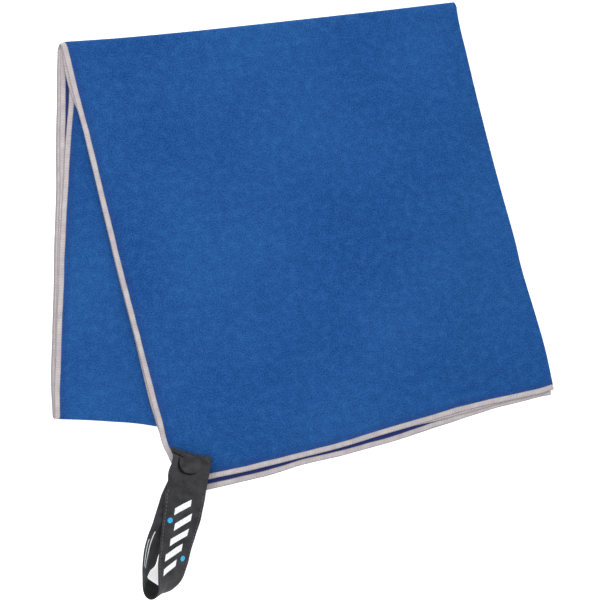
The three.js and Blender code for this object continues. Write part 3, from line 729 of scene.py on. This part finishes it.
def metal_material(name, colour, dark, roughness, metallic=1.0):
    m, nodes, links, p = material(name)
    tc = nodes.new("ShaderNodeTexCoord")
    scratch = noise(nodes, links, tc.outputs["Object"], 900, 3.0, 0.6)
    smudge = noise(nodes, links, tc.outputs["Object"], 260, 2.0, 0.5)
    base = ramp(nodes, links, smudge, [(0.3, dark), (0.7, colour)])
    links.new(base, p.inputs["Base Color"])
    p.inputs["Metallic"].default_value = metallic
    rough = math_node(nodes, links, "ADD", math_node(nodes, links, "MULTIPLY", scratch, 0.25), roughness - 0.12)
    links.new(rough, p.inputs["Roughness"])
    links.new(bump(nodes, links, scratch, 0.15, 0.00005), p.inputs["Normal"])
    return m


SUEDE = cloth_material()
# its last colour is painted shade for the edging's sides and for the grooves between its turns
EDGING = thread_material("overlock_thread", srgb(173, 165, 171), srgb(185, 178, 180), srgb(197, 193, 189), srgb(92, 80, 88))
RIBBON = ribbon_material("ribbon_charcoal", srgb(28, 28, 31), srgb(60, 59, 63), 0.7)
RIBBON_IN = ribbon_material("ribbon_inner_face", srgb(30, 30, 33), srgb(64, 64, 68), 0.7)
PRINT_WHITE = print_material("print_white", srgb(236, 238, 240), srgb(186, 190, 194))
PRINT_BLUE = print_material("print_light_blue", srgb(44, 168, 222), srgb(34, 132, 180))
SEAM = thread_material("ribbon_thread", srgb(92, 92, 95), srgb(108, 108, 112), srgb(128, 128, 132))
SEAM_DARK = thread_material("ribbon_thread_dark", srgb(36, 36, 38), srgb(44, 44, 46), srgb(54, 54, 56))
# painted shade: a darker copy of the ribbon for the inner face deep in the far bend
RIBBON_BEND_SHADE = ribbon_material("ribbon_inner_bend_painted_shade", srgb(16, 16, 18), srgb(34, 34, 37), 0.75)
# painted shade: near-black ribbon for marks where shade falls in creases
CREASE_SHADE = ribbon_material("ribbon_crease_painted_shade", srgb(4, 4, 5), srgb(14, 14, 15), 0.9)
STEEL = metal_material("snap_steel", (0.56, 0.57, 0.58, 1), (0.42, 0.43, 0.44, 1), 0.34)
ENAMEL = metal_material("snap_cap_enamel", (0.045, 0.045, 0.048, 1), (0.025, 0.025, 0.028, 1), 0.4, 0.3)

# ------------------------------------------------------------------ towel pieces
b1 = Builder()
cloth_piece(b1, fold_outer, True, True)
cloth_piece(b1, fold_inner, True, True)
towel_folded = b1.make("towel_sheet_folds", [SUEDE])
b3 = Builder()
cloth_piece(b3, back_rows, True, True)
towel_back = b3.make("towel_sheet_back", [SUEDE])
b2 = Builder()
cloth_piece(b2, front1, True, True)
cloth_piece(b2, front2, True, True)
towel_front = b2.make("towel_sheet_front", [SUEDE])


# ------------------------------------------------------------------ overlock edging
EDGE_W = 4.75
STEP = 0.325
PITCH = 1.3  # of the thread's turns


def at_uv(layer, u, v):
    u, v = np.broadcast_arrays(np.asarray(u, float), np.asarray(v, float))
    s = u / layer.width(1 - v / layer.left.length)
    return layer.at(s, 1 - v / layer.height(s))


FRONT, FOLD, BACKWARD = 0, 1, 2


def edge_pairs(half):
    """Outer and inner lines of the edging of one half, along the cloth from hem to hem, and what each step belongs to."""
    n1, n4, n3, n2 = [LAYERS[k] for k in HALF[half]]
    r = ARC_R[half]

    def hem_and_side(layer):
        """From the side fold along the hem, round the corner and up to the stub's end."""
        w = layer.width(np.float64(1.0))
        u = np.linspace(w - FOLD_IN, CORNER, int(w / STEP))
        v = np.linspace(CORNER, layer.left.length * (1 - layer.t0[0] * (1 + STUB / TOP_Z)), int(layer.left.length / STEP))
        psi = np.linspace(math.pi / 2, 0, 26)[1:-1]
        ri = CORNER - EDGE_W
        outer = np.concatenate([at_uv(layer, u, 0 * u), at_uv(layer, CORNER - CORNER * np.cos(psi), CORNER - CORNER * np.sin(psi)), at_uv(layer, 0 * v, v)])
        inner = np.concatenate([at_uv(layer, u, 0 * u + EDGE_W), at_uv(layer, CORNER - ri * np.cos(psi), CORNER - ri * np.sin(psi)), at_uv(layer, 0 * v + EDGE_W, v)])
        return outer, inner

    def side(layer, t_from, t_to, count):
        t = np.linspace(t_from, t_to, count)
        return layer.at(0 * t, t), layer.at(EDGE_W / layer.width(t), t)

    def arc(rows_of, up, low, radius, reverse=False):
        s_low, s_in = np.array([0.0]), np.array([EDGE_W / up.width(0.01)])
        o, i = rows_of(up, low, radius, s_low)[:, 0], rows_of(up, low, radius, s_in)[:, 0]
        return (o[::-1], i[::-1]) if reverse else (o, i)

    t_stub1, t_stub2 = [n.t0[0] * (1 + STUB / TOP_Z) for n in (n1, n2)]
    m4, m3 = 1 - M_IN / n4.left.length, 1 - M_IN / n3.left.length
    long4, long3 = int(n4.left.length / STEP), int(n3.left.length / STEP)
    first = hem_and_side(n1)
    last = tuple(x[::-1] for x in hem_and_side(n2))
    middle = [
        side(n1, t_stub1, n1.t0[0], int(STUB / STEP)),
        arc(top_arc, n1, n4, r["Q1"]),
        side(n4, n4.t0[0], m4, long4),
        arc(bottom_arc, n3, n4, r["M"]),
        side(n3, m3, n3.t0[0], long3),
        arc(top_arc, n2, n3, r["Q2"], reverse=True),
        side(n2, n2.t0[0], t_stub2, int(STUB / STEP)),
    ]
    outer, inner, kinds = [first[0]], [first[1]], [np.full(len(first[0]) - 1, FRONT)]
    for (o, i), kind in zip([*middle, last], (FRONT, FOLD, BACKWARD, BACKWARD, BACKWARD, FOLD, FRONT, FRONT)):
        outer.append(o[1:])
        inner.append(i[1:])
        kinds.append(np.full(len(o) - 1, kind))
    return np.concatenate(outer), np.concatenate(inner), np.concatenate(kinds)


def round_fold(pa, pb, right):
    """Points that turn round the side fold from one half's line to the other's."""
    middle, n = (pa + pb) / 2, (pa - pb) / 2
    radius = np.linalg.norm(n)
    return np.array([middle + n * math.cos(f) + right * radius * math.sin(f) for f in np.linspace(0, math.pi, 9)[1:-1]])


def closed_edge():
    """The whole edging as one closed line: half a forwards, round the fold, half b backwards, round the fold."""
    oa, ia, ka = edge_pairs("a")
    ob, ib, kb = edge_pairs("b")
    ob, ib, kb = ob[::-1], ib[::-1], kb[::-1]
    right2 = unit(oa[-1] - oa[-9])
    right1 = unit(oa[0] - oa[8])
    turn2 = [round_fold(oa[-1], ob[0], right2), round_fold(ia[-1], ib[0], right2)]
    turn1 = [round_fold(ob[-1], oa[0], right1), round_fold(ib[-1], ia[0], right1)]
    turn = np.full(8, FRONT)
    return (
        np.concatenate([oa, turn2[0], ob, turn1[0]]), np.concatenate([ia, turn2[1], ib, turn1[1]]),
        np.concatenate([ka, turn, kb, turn]),
    )


# across the edging: distance from its outer line, height over the middle of the cloth
PROFILE = np.array([
    [4.8, 0.40], [4.1, 0.555], [2.9, 0.60], [1.6, 0.565], [0.6, 0.40], [0.0, 0.0],
    [0.6, -0.40], [1.6, -0.565], [2.9, -0.60], [4.1, -0.555], [4.8, -0.40],
])


def edging_rings():
    outer, inner, kinds = closed_edge()
    count = len(outer)
    middle = (outer + inner) / 2
    length = np.r_[0, np.cumsum(np.linalg.norm(np.diff(middle, axis=0), axis=1))]
    across = unit(inner - outer)
    run = unit(np.roll(middle, -1, axis=0) - np.roll(middle, 1, axis=0))
    normal = unit(np.cross(run, across))
    if normal[100, 2] < 0:
        normal = -normal
    for i in range(1, count):
        if normal[i] @ normal[i - 1] < -0.2:
            normal[i] = -normal[i]
    normal = unit(sum(w * np.roll(normal, k, axis=0) for k, w in ((-2, 1), (-1, 2), (0, 3), (1, 2), (2, 1))))
    r = np.random.default_rng(5)
    knots = np.arange(0, length[-1] + 9, 9)
    jitter = np.interp(length, knots, r.uniform(-1, 1, len(knots)))
    phase = 2 * math.pi * (length + 0.25 * jitter) / PITCH
    rings = []
    for w, h in PROFILE:
        lean = 0.5 * (w - 2.4)
        inner_side = float(smooth(np.array((w - 2.4) / 2.4)))
        ww = w + (0.16 * np.cos(phase) + 0.2 * jitter) * inner_side - 0.07 * (1 - inner_side) * np.cos(phase)
        hh = h * (1 - 0.03) + (np.sign(h) * 0.05 * np.cos(phase + lean) if abs(h) > 0.3 else 0)
        rings.append(outer + across * ww[:, None] + normal * (hh + 0 * length)[:, None])
    rings = np.array(rings).transpose(1, 0, 2)
    uv = np.stack(np.broadcast_arrays(length[:, None] * MM, (PROFILE[:, 0] * MM)[None, :] + np.where(PROFILE[:, 1] < 0, 0.05, 0)[None, :]), axis=-1)
    return rings, uv, kinds


ex = {FRONT: Builder(), FOLD: Builder(), BACKWARD: Builder()}
rings, uv, kinds = edging_rings()
rings, uv = np.concatenate([rings, rings[:1]]), np.concatenate([uv, uv[-1:] + [STEP * MM, 0]])
cuts = [0, *(np.flatnonzero(np.diff(kinds)) + 1).tolist(), len(kinds)]
for first, last in zip(cuts[:-1], cuts[1:]):
    part = slice(first, last + 1)
    ex[int(kinds[first])].grid(rings[part], uv[part], np.zeros_like(rings[part]), close_v=True, flip=True)
edging_front = ex[FRONT].make("overlock_edging_front", [EDGING], use_normals=False)
edging_folds = ex[FOLD].make("overlock_edging_folds", [EDGING], use_normals=False)
edging_back = ex[BACKWARD].make("overlock_edging_back", [EDGING], use_normals=False)

# ------------------------------------------------------------------ the ribbon
R = 31.7 / 2


def at(a, b, z):
    return np.r_[HEM_POINT + A * a + B * b, z]


FRONT_ARM = [
    [[-111.9, -154.78, 13.4], [-80.19, -160.37, 13.2]], [[-113.4, -166.62, 15.4], [-82.08, -170.32, 8.6]],
    [[-114.96, -179.77, 17], [-84.74, -182.24, 8.2]], [[-116.44, -192.92, 20], [-89.0, -194.57, 5]],
    [[-117.67, -205.25, 22.2], [-92.4, -206.49, 2.9]], [[-118.41, -215.12, 23.8], [-94.9, -216.76, 2]],
    [[-118.5, -224.98, 26.6], [-98.6, -226.21, 1.4]], [[-118.6, -233.6, 29.0], [-105.0, -234.6, 1.2]],
]
FAR_BEND = [
    [[-118.9, -238.96, 30.4], [-110.0, -238.3, 1.1]], [[-121.7, -243.2, 30.7], [-114.4, -238.2, 1]],
    [[-125.2, -244.2, 30.7], [-118.9, -234.3, 1]], [[-128.7, -241.8, 30.6], [-123.5, -231.2, 1]],
]
BACK_ARM = [
    [[-130.6, -237.1, 30.7], [-127.3, -228.0, 1]], [[-131.3, -226.63, 31.4], [-125.8, -221.9, 1]],
    [[-131.5, -218.41, 30.9], [-121.86, -217.17, 1]], [[-130.8, -210.19, 30.1], [-119.07, -208.54, 1]],
    [[-129.5, -202.38, 28.6], [-114.96, -200.32, 1]], [[-127.2, -192.92, 26.2], [-108.38, -190.87, 1]],
    [[-122.8, -180.59, 20.6], [-98.11, -181, 1.2]], [[-118.7, -167.44, 13.4], [-89.06, -169.91, 2.2]],
    [[-115.3, -156.92, 9.7], [-83.2, -162.34, 8.6]],
]
END_IN, BASE_IN, TURN_IN = 29.0, 28.2, 8.6


def cross(a, z, half=R, shift=0.0):
    return [at(a, -half + shift, z), at(a, half + shift, z)]


stations, marks = [], {}
for a in (-BASE_IN, -24, -16, -9):
    stations.append(cross(a, 10.35))
stations.append(cross(-3, 10.32, shift=-0.6))
stations.append(cross(1.5, 10.1, shift=-1.8))
stations += [[np.array(p), np.array(q)] for p, q in reversed(BACK_ARM)]
stations += [[np.array(p), np.array(q)] for p, q in reversed(FAR_BEND)]
stations += [[np.array(p), np.array(q)] for p, q in reversed(FRONT_ARM)]
stations.append(cross(3.0, 14.1))
marks["seam"] = len(stations) - 1
# the left edge bows out a little above the hem
for a, z, out in ((0.0, 14.75, 0.2), (-4.0, 15.4, 0.7), (-8.6, 16.0, 1.4), (-12.5, 16.2, 1.2), (-18.0, 16.21, 0.0), (-25.0, 16.21, 0.0)):
    stations.append([at(a, -R - out, z), at(a, R, z)])
marks["over"] = len(stations) - 1
centre_a, centre_z, r_end = -END_IN + 1.1, 15.68, 0.53
for th in (0, 30, 60, 90, 120, 150, 180):
    th = math.radians(th)
    stations.append(cross(centre_a - r_end * math.sin(th), centre_z + r_end * math.cos(th)))
marks["under"] = len(stations) - 1
for a in (-25, -18, -12, -TURN_IN):
    stations.append(cross(a, 15.15))
marks["turn"] = len(stations) - 1
P = np.array([s[0] for s in stations])
Q = np.array([s[1] for s in stations])
mid = (P + Q) / 2
chord = np.r_[0, np.cumsum(np.maximum(np.linalg.norm(np.diff(mid, axis=0), axis=1), 0.15))]
# away from the flat ends the two edges run at different lengths, so both enter the parameter
chord = np.r_[0, np.cumsum(np.maximum((np.linalg.norm(np.diff(P, axis=0), axis=1) + np.linalg.norm(np.diff(Q, axis=0), axis=1)) / 2, 0.15))]


def hermite(points, t):
    m = np.gradient(points, chord, axis=0)
    i = np.clip(np.searchsorted(chord, t, side="right") - 1, 0, len(chord) - 2)
    h = (chord[i + 1] - chord[i])[:, None]
    u = ((t - chord[i]) / (chord[i + 1] - chord[i]))[:, None]
    a, b, ma, mb = points[i], points[i + 1], m[i] * h, m[i + 1] * h
    return (2 * u**3 - 3 * u**2 + 1) * a + (u**3 - 2 * u**2 + u) * ma + (-2 * u**3 + 3 * u**2) * b + (u**3 - u**2) * mb


params = []
for i in range(len(chord) - 1):
    count = max(2, int(round((chord[i + 1] - chord[i]) / 0.9)))
    params.append(np.linspace(chord[i], chord[i + 1], count + 1)[:-1])
params = np.r_[np.concatenate(params), chord[-1]]
seam_row = int(np.argmin(abs(params - chord[marks["seam"]])))
edge_p, edge_q = hermite(P, params), hermite(Q, params)
NB = 25
bs = np.sin(np.linspace(-math.pi / 2, math.pi / 2, NB))
bs = 0.6 * bs + 0.4 * np.linspace(-1, 1, NB)
k = ((bs + 1) / 2)[None, :, None]
G = edge_p[:, None] * (1 - k) + edge_q[:, None] * k

# local strap coordinates of every point
rel = G[..., :2] - HEM_POINT
ga, gb = rel @ A, rel @ B
r_snap = np.hypot(ga + SNAP_IN, gb)
rows_upper = (params > chord[marks["seam"]]) & (params < chord[marks["over"] + 1])
rows_base = params <= chord[4] + 1e-6
# the turned-back layer passes over the cap; the sewn end passes over the post's flange
dome = smooth((9.9 - r_snap) / 2.6)
toward = ((ga + SNAP_IN) * 0.92 - gb * 0.38) / np.maximum(r_snap, 1e-6)
r_dent = np.hypot(ga + SNAP_IN + 0.9, gb + 0.8)
dent = np.exp(-(((r_dent - 9.7) / 0.9) ** 2)) * smooth((toward + 0.15) / 0.7)
band = np.exp(-(((ga + 25.0 - 0.1 * gb) / 0.7) ** 2)) * smooth((-gb + 9) / 9)
G[..., 2] += np.where(rows_upper[:, None], dome * 1.2 - dent * 0.55 - band * 0.4, 0)
G[..., 2] += np.where(rows_base[:, None], smooth((9.5 - r_snap) / 3.6) * 0.65, 0)
# soft creases in the loop
crease = waves([26, 17], 0.22, 21, dims=2)
along = params - params[0]
loop_part = smooth((along - 38) / 14) * smooth((chord[marks["seam"]] - along - 8) / 16)
wobble = crease(np.stack(np.broadcast_arrays(along[:, None], bs[None, :] * R), axis=-1))


def ribbon_normals(g):
    du, dv = np.gradient(g, axis=0), np.gradient(g, axis=1)
    return unit(np.cross(du, dv))


# the turned end lies a little aslant, and stands out to the left of the strap below it
askew = smooth((-ga - 19.5) / 8.0) * (params > chord[marks["seam"]])[:, None]
G[..., :2] += (askew * (0.135 * gb + 0.25))[..., None] * A + (askew * smooth((-ga - 23.0) / 4.0) * (0.062 * gb - 1.9))[..., None] * B
N = ribbon_normals(G)
G = G + N * (wobble * loop_part[:, None])[..., None]
N = ribbon_normals(G)
THICK = 0.9
LEN = np.r_[0, np.cumsum(np.linalg.norm(np.diff(G[:, NB // 2], axis=0), axis=1))]


def on_ribbon(row_len, b, h):
    """Point of the ribbon at a length along its middle, share b of the half width, height h over its middle layer."""
    row_len, b, h = np.broadcast_arrays(*[np.asarray(x, float) for x in (row_len, b, h)])
    i = np.clip(np.searchsorted(LEN, row_len, side="right") - 1, 0, len(LEN) - 2)
    u = ((row_len - LEN[i]) / (LEN[i + 1] - LEN[i]))[..., None]
    j = np.clip(np.searchsorted(bs, b, side="right") - 1, 0, NB - 2)
    v = ((b - bs[j]) / (bs[j + 1] - bs[j]))[..., None]

    def lerp(arr):
        return (1 - u) * ((1 - v) * arr[i, j] + v * arr[i, j + 1]) + u * ((1 - v) * arr[i + 1, j] + v * arr[i + 1, j + 1])

    n = unit(lerp(N))
    return lerp(G) + n * h[..., None], n


def ribbon_body(builder, rows):
    """The woven ribbon at its thickness: outline of its section with rounded selvedges."""
    g, n = G[rows], N[rows]
    width_dir = unit(g[:, -1] - g[:, 0])
    taper = 1 - 0.45 * np.clip((abs(bs) - 0.955) / 0.045, 0, 1) ** 2 + 0.06 * np.exp(-(((abs(bs) - 0.93) / 0.03) ** 2))
    top = g + n * (THICK / 2 * taper)[None, :, None]
    low = g - n * (THICK / 2 * taper)[None, :, None]
    left = g[:, 0] - width_dir * 0.16
    right = g[:, -1] + width_dir * 0.16
    ring = np.concatenate([top, right[:, None], low[:, ::-1], left[:, None]], axis=1)
    across = np.r_[bs * R, R + 0.3, bs[::-1] * R, -R - 0.3] * MM
    uv = np.stack(np.broadcast_arrays(LEN[rows][:, None] * MM, across[None, :]), axis=-1)
    idx = builder.grid(ring, uv, np.zeros_like(ring), close_v=True)
    # the +N face is the inner face of the loop
    cols = ring.shape[1]
    face_cols = np.tile(np.arange(cols), len(rows) - 1)
    row_of = np.repeat(rows[:-1], cols)
    at_row = params[row_of]
    # painted shade: in the far bend the inner face takes the darker copy of the ribbon (slot 7)
    shaded_bend = (at_row > chord[14] - 1.0) & (at_row < chord[20])
    builder.m[-1] = np.where((face_cols < NB - 1) & (row_of < seam_row), np.where(shaded_bend, 7, 1), 0)
    return idx


def cap(builder, ring_idx, flip):
    """Closes the cut end of a ribbon with a fan of quads between its two faces."""
    top = ring_idx[:NB]
    low = ring_idx[NB + 1 : 2 * NB + 1][::-1]
    quads = np.stack([top[:-1], top[1:], low[1:], low[:-1]], axis=-1)
    if flip:
        quads = quads[:, ::-1]
    builder.f.append(quads)
    builder.m.append(np.zeros(len(quads), int))


def dash(builder, l0, b0, l1, b1, h, radius, slot, arch=0.16):
    """One stitch: a short round thread that arches over the ribbon. h has the sign of its face."""
    u = np.linspace(0, 1, 6)
    side = np.sign(h)
    rise_ = np.sin(u * math.pi)
    c, n = on_ribbon(l0 + (l1 - l0) * u, b0 + (b1 - b0) * u, h + side * (arch * rise_ ** 0.6 - 0.12))
    run = unit(np.gradient(c, axis=0))
    w = unit(np.cross(n, run))
    n = unit(np.cross(run, w))
    rad = radius * (0.45 + 0.55 * rise_**0.5)
    ang = np.linspace(0, 2 * math.pi, 7)[:-1]
    ring = c[:, None] + rad[:, None, None] * (np.cos(ang)[None, :, None] * w[:, None] + np.sin(ang)[None, :, None] * n[:, None])
    uv = np.stack(np.broadcast_arrays((l0 + (l1 - l0) * u)[:, None] * MM, (ang * radius * MM)[None, :] + b0 * 0.01), axis=-1)
    builder.grid(ring, uv, np.zeros_like(ring), material=slot, close_v=True, flip=True)


def dashes(builder, start, end, h, radius, slot, stitch=2.3, gap=0.9, arch=0.16):
    """A straight row of stitches between two (length, b in millimetres) points."""
    (l0, b0), (l1, b1) = start, end
    total = math.hypot(l1 - l0, b1 - b0)
    n = max(1, int(round(total / (stitch + gap))))
    pitch = total / n
    for i in range(n):
        f0, f1 = (i * pitch + gap / 2) / total, ((i + 1) * pitch - gap / 2) / total
        dash(builder, l0 + (l1 - l0) * f0, (b0 + (b1 - b0) * f0) / R, l0 + (l1 - l0) * f1, (b0 + (b1 - b0) * f1) / R, h, radius, slot, arch)


def printed(builder, corners, h, slot, n=10, m=6):
    """A printed patch on the ribbon: a four-sided shape, corners as (length, b in millimetres)."""
    c = np.array(corners, float)
    u, v = np.meshgrid(np.linspace(0, 1, n), np.linspace(0, 1, m), indexing="ij")
    lb = (1 - u)[..., None] * ((1 - v)[..., None] * c[0] + v[..., None] * c[3]) + u[..., None] * ((1 - v)[..., None] * c[1] + v[..., None] * c[2])
    p, nrm = on_ribbon(lb[..., 0], lb[..., 1] / R, h + 0 * u)
    side = 1 if np.cross(c[1] - c[0], c[3] - c[0]) > 0 else -1
    builder.grid(p, lb * MM, nrm * np.sign(h), material=slot, flip=(side * np.sign(h) < 0) is False)


def crescent(builder, centre, radius, width, start, end, h, slot):
    """A curved mark that is widest in its middle. Angles from the direction of the loop, turning left."""
    f, w = np.meshgrid(np.linspace(0, 1, 40), np.linspace(-0.5, 0.5, 5), indexing="ij")
    th = start + (end - start) * f
    rr = radius + width * w * np.sin(math.pi * f) ** 0.7
    l = centre[0] - rr * np.cos(th)
    b = centre[1] - rr * np.sin(th)
    p, nrm = on_ribbon(l, b / R, h + 0 * l)
    builder.grid(p, np.stack([l, b], axis=-1) * MM, nrm * np.sign(h), material=slot)


def dot(builder, centre, radius, h, slot):
    """A printed round dot."""
    rr, th = np.meshgrid(np.linspace(0.02, 1, 5), np.linspace(0, 2 * math.pi, 21), indexing="ij")
    l = centre[0] + radius * rr * np.cos(th)
    b = centre[1] + radius * rr * np.sin(th)
    p, nrm = on_ribbon(l, b / R, h + 0 * l)
    builder.grid(p, np.stack([l, b], axis=-1) * MM, nrm * np.sign(h), material=slot)


RIBBON_SLOTS = [RIBBON, RIBBON_IN, SEAM, PRINT_WHITE, PRINT_BLUE, CREASE_SHADE, SEAM_DARK, RIBBON_BEND_SHADE]
loop_b, tab_b = Builder(), Builder()
rows_all = np.arange(len(params))
loop_idx = ribbon_body(loop_b, rows_all[: seam_row + 1])
tab_idx = ribbon_body(tab_b, rows_all[seam_row:])
cap(loop_b, loop_idx[0], False)
cap(tab_b, tab_idx[-1], True)


def len_at(name_a, base=False):
    """Length along the ribbon where its middle is at strap coordinate a, on the sewn end, or the tab's layers."""
    middle_a = (G[:, NB // 2, :2] - HEM_POINT) @ A
    if base:
        rows = np.arange(0, np.searchsorted(params, chord[6]))
    else:
        rows = np.arange(seam_row, np.searchsorted(params, chord[marks["over"] + 1]))
    a_rows = middle_a[rows]
    order_ = np.argsort(a_rows)
    return float(np.interp(name_a, a_rows[order_], LEN[rows][order_]))


TOP_H = THICK / 2
# box stitch on the sewn end
box_a0, box_a1, box_b = len_at(-BASE_IN + 1.4, base=True), len_at(-3.0, base=True), R - 3.0
for start, end in (((box_a0, -box_b), (box_a1, -box_b)), ((box_a1, -box_b), (box_a1, box_b)), ((box_a1, box_b), (box_a0, box_b)), ((box_a0, box_b), (box_a0, -box_b))):
    dashes(loop_b, start, end, TOP_H, 0.28, 2)
# stitching of the turned-back end of the tab, seen on its upper layer
for a_row in (-25.4, -9.6):
    l = len_at(a_row)
    dashes(tab_b, (l, -R + 1.8), (l, R - 1.8), -TOP_H, 0.2, 6, 2.0, 0.8, 0.08)
# painted shade: a dark crescent below the cap's bulge, for the shade in its crease
snap_len = len_at(-SNAP_IN)
crescent(tab_b, (snap_len + 0.9, -0.8), 9.6, 2.8, math.radians(-46), math.radians(108), -TOP_H - 0.03, 5)
# painted shade: a dark line under the turned end, on its left side
shade_line_at = len_at(-24.6)
printed(tab_b, [(shade_line_at + 1.4, -R + 0.2), (shade_line_at - 0.4, -6.2), (shade_line_at - 1.6, -6.6), (shade_line_at - 0.1, -R + 0.2)], -TOP_H - 0.03, 5, 12, 3)
# a line of fine stitches inside each selvedge of the front arm's outer face
seam_len = float(LEN[seam_row])
arm_from = float(np.interp(chord[marks["seam"] - 8], params, LEN))
for sgn, inset in ((-1, 1.6), (1, 1.6)):
    dashes(loop_b, (arm_from, sgn * (R - inset)), (seam_len - 1.0, sgn * (R - inset)), -TOP_H, 0.2, 2, 1.9, 1.1)

# a plain printed pattern on the front arm: slanted bars and two dots
arm_len = seam_len - arm_from


def arm(f, b):
    """Share of the way from the towel to the far bend, and millimetres to the right."""
    return (seam_len - f * arm_len, b)


for f0, rise_f, b0, b1, thick_ in (
    (0.08, 0.11, 5.5, -7.0, 0.07), (0.225, 0.12, 7.5, -5.0, 0.075), (0.385, 0.12, 8.0, -6.5, 0.075), (0.545, 0.12, 6.0, -9.5, 0.075), (0.71, 0.11, 2.5, -9.5, 0.07),
):
    printed(loop_b, [arm(f0, b0), arm(f0 + rise_f, b1), arm(f0 + rise_f + thick_, b1), arm(f0 + thick_, b0)], -TOP_H - 0.05, 3, 16, 6)
for f, b in ((0.315, -9.6), (0.70, 8.6)):
    dot(loop_b, arm(f, b), 2.3, -TOP_H - 0.06, 4)
# two plain printed lines on the inner face of the back arm
back_from = float(np.interp(chord[6], params, LEN))
back_len = float(np.interp(chord[14], params, LEN)) - back_from
for b, f0, f1, w in ((-9.0, 0.42, 0.82, 1.5), (-13.2, 0.50, 0.80, 1.0)):
    l0, l1 = back_from + f0 * back_len, back_from + f1 * back_len
    printed(loop_b, [(l0, b - w / 2), (l1, b - w / 2), (l1, b + w / 2), (l0, b + w / 2)], TOP_H + 0.05, 3, 40, 3)

loop = loop_b.make("ribbon_loop", RIBBON_SLOTS, use_normals=False)
tab = tab_b.make("ribbon_snap_tab", RIBBON_SLOTS, use_normals=False)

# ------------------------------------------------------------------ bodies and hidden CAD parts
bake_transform(towel_folded)
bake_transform(edging_folds)
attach(towel_back, "back_group")
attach(edging_back, "back_group")
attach(towel_front, "front_group")
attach(edging_front, "front_group")


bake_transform(loop)
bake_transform(tab)

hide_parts("towel_cloth_back")
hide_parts("towel_cloth_front_outer", "towel_cloth_front_inner")
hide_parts(*[f"edging_back_layer_{i}" for i in (1, 2, 3, 4)])
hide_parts(*[f"edging_front_layer_{i}" for i in (1, 2, 3, 4)])
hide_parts("strap_sewn_end", "sewn_end_box_stitch", "strap_back_arm", "strap_far_bend", "strap_front_arm")
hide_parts("strap_snap_tab", "tab_end_stitch")

# CAD nodes that stay: the metal snap
for node, mat in (("snap_stud", STEEL), ("snap_stud_post", STEEL), ("snap_socket", STEEL), ("snap_cap", ENAMEL)):
    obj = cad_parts[node]
    obj.data.materials.clear()
    obj.data.materials.append(mat)
    for poly in obj.data.polygons:
        poly.use_smooth = False

# ------------------------------------------------------------------ stage, light and camera
FLOOR = bpy.data.meshes.new("floor")
size, z = 4.0, -0.0002
FLOOR.from_pydata([(-size, -size, z), (size, -size, z), (size, size, z), (-size, size, z)], [], [(0, 1, 2, 3)])
floor = bpy.data.objects.new("floor", FLOOR)
bpy.context.scene.collection.objects.link(floor)
fm, fn, fl, fp = material("floor_white")
fp.inputs["Base Color"].default_value = (0.93, 0.93, 0.93, 1)
fp.inputs["Roughness"].default_value = 1.0
fp.inputs["Specular IOR Level"].default_value = 0.0
fp.inputs["Emission Color"].default_value = (1, 1, 1, 1)
fp.inputs["Emission Strength"].default_value = 0.6
FLOOR.materials.append(fm)

world = bpy.data.worlds.new("soft_studio")
world.use_nodes = True
bg = world.node_tree.nodes["Background"]
bg.inputs["Color"].default_value = (1, 1, 1, 1)
bg.inputs["Strength"].default_value = 1.0
bpy.context.scene.world = world


def area(name, location, target, size_, power):
    light = bpy.data.lights.new(name, "AREA")
    light.shape, light.size, light.energy = "DISK", size_, power
    obj = bpy.data.objects.new(name, light)
    obj.location = location
    direction = np.array(target) - np.array(location)
    from mathutils import Vector

    obj.rotation_euler = Vector(direction).to_track_quat("-Z", "Y").to_euler()
    bpy.context.scene.collection.objects.link(obj)


area("key", (-0.9, 0.45, 0.95), (0, 0, 0), 0.8, 6.5)
area("fill", (1.3, -0.8, 1.6), (0, 0, 0), 1.4, 4)

H = 7.0
cam_data = bpy.data.cameras.new("camera")
cam_data.sensor_width = 36
cam_data.lens = 36 * H / 0.4932
cam_data.clip_start, cam_data.clip_end = 0.5, 50
cam = bpy.data.objects.new("camera", cam_data)
cam.location = (-0.00184, 0.00137, H + 0.006)
cam.rotation_euler = (0, 0, 0)
bpy.context.scene.collection.objects.link(cam)
bpy.context.scene.camera = cam
bpy.context.scene.view_settings.view_transform = "Standard"
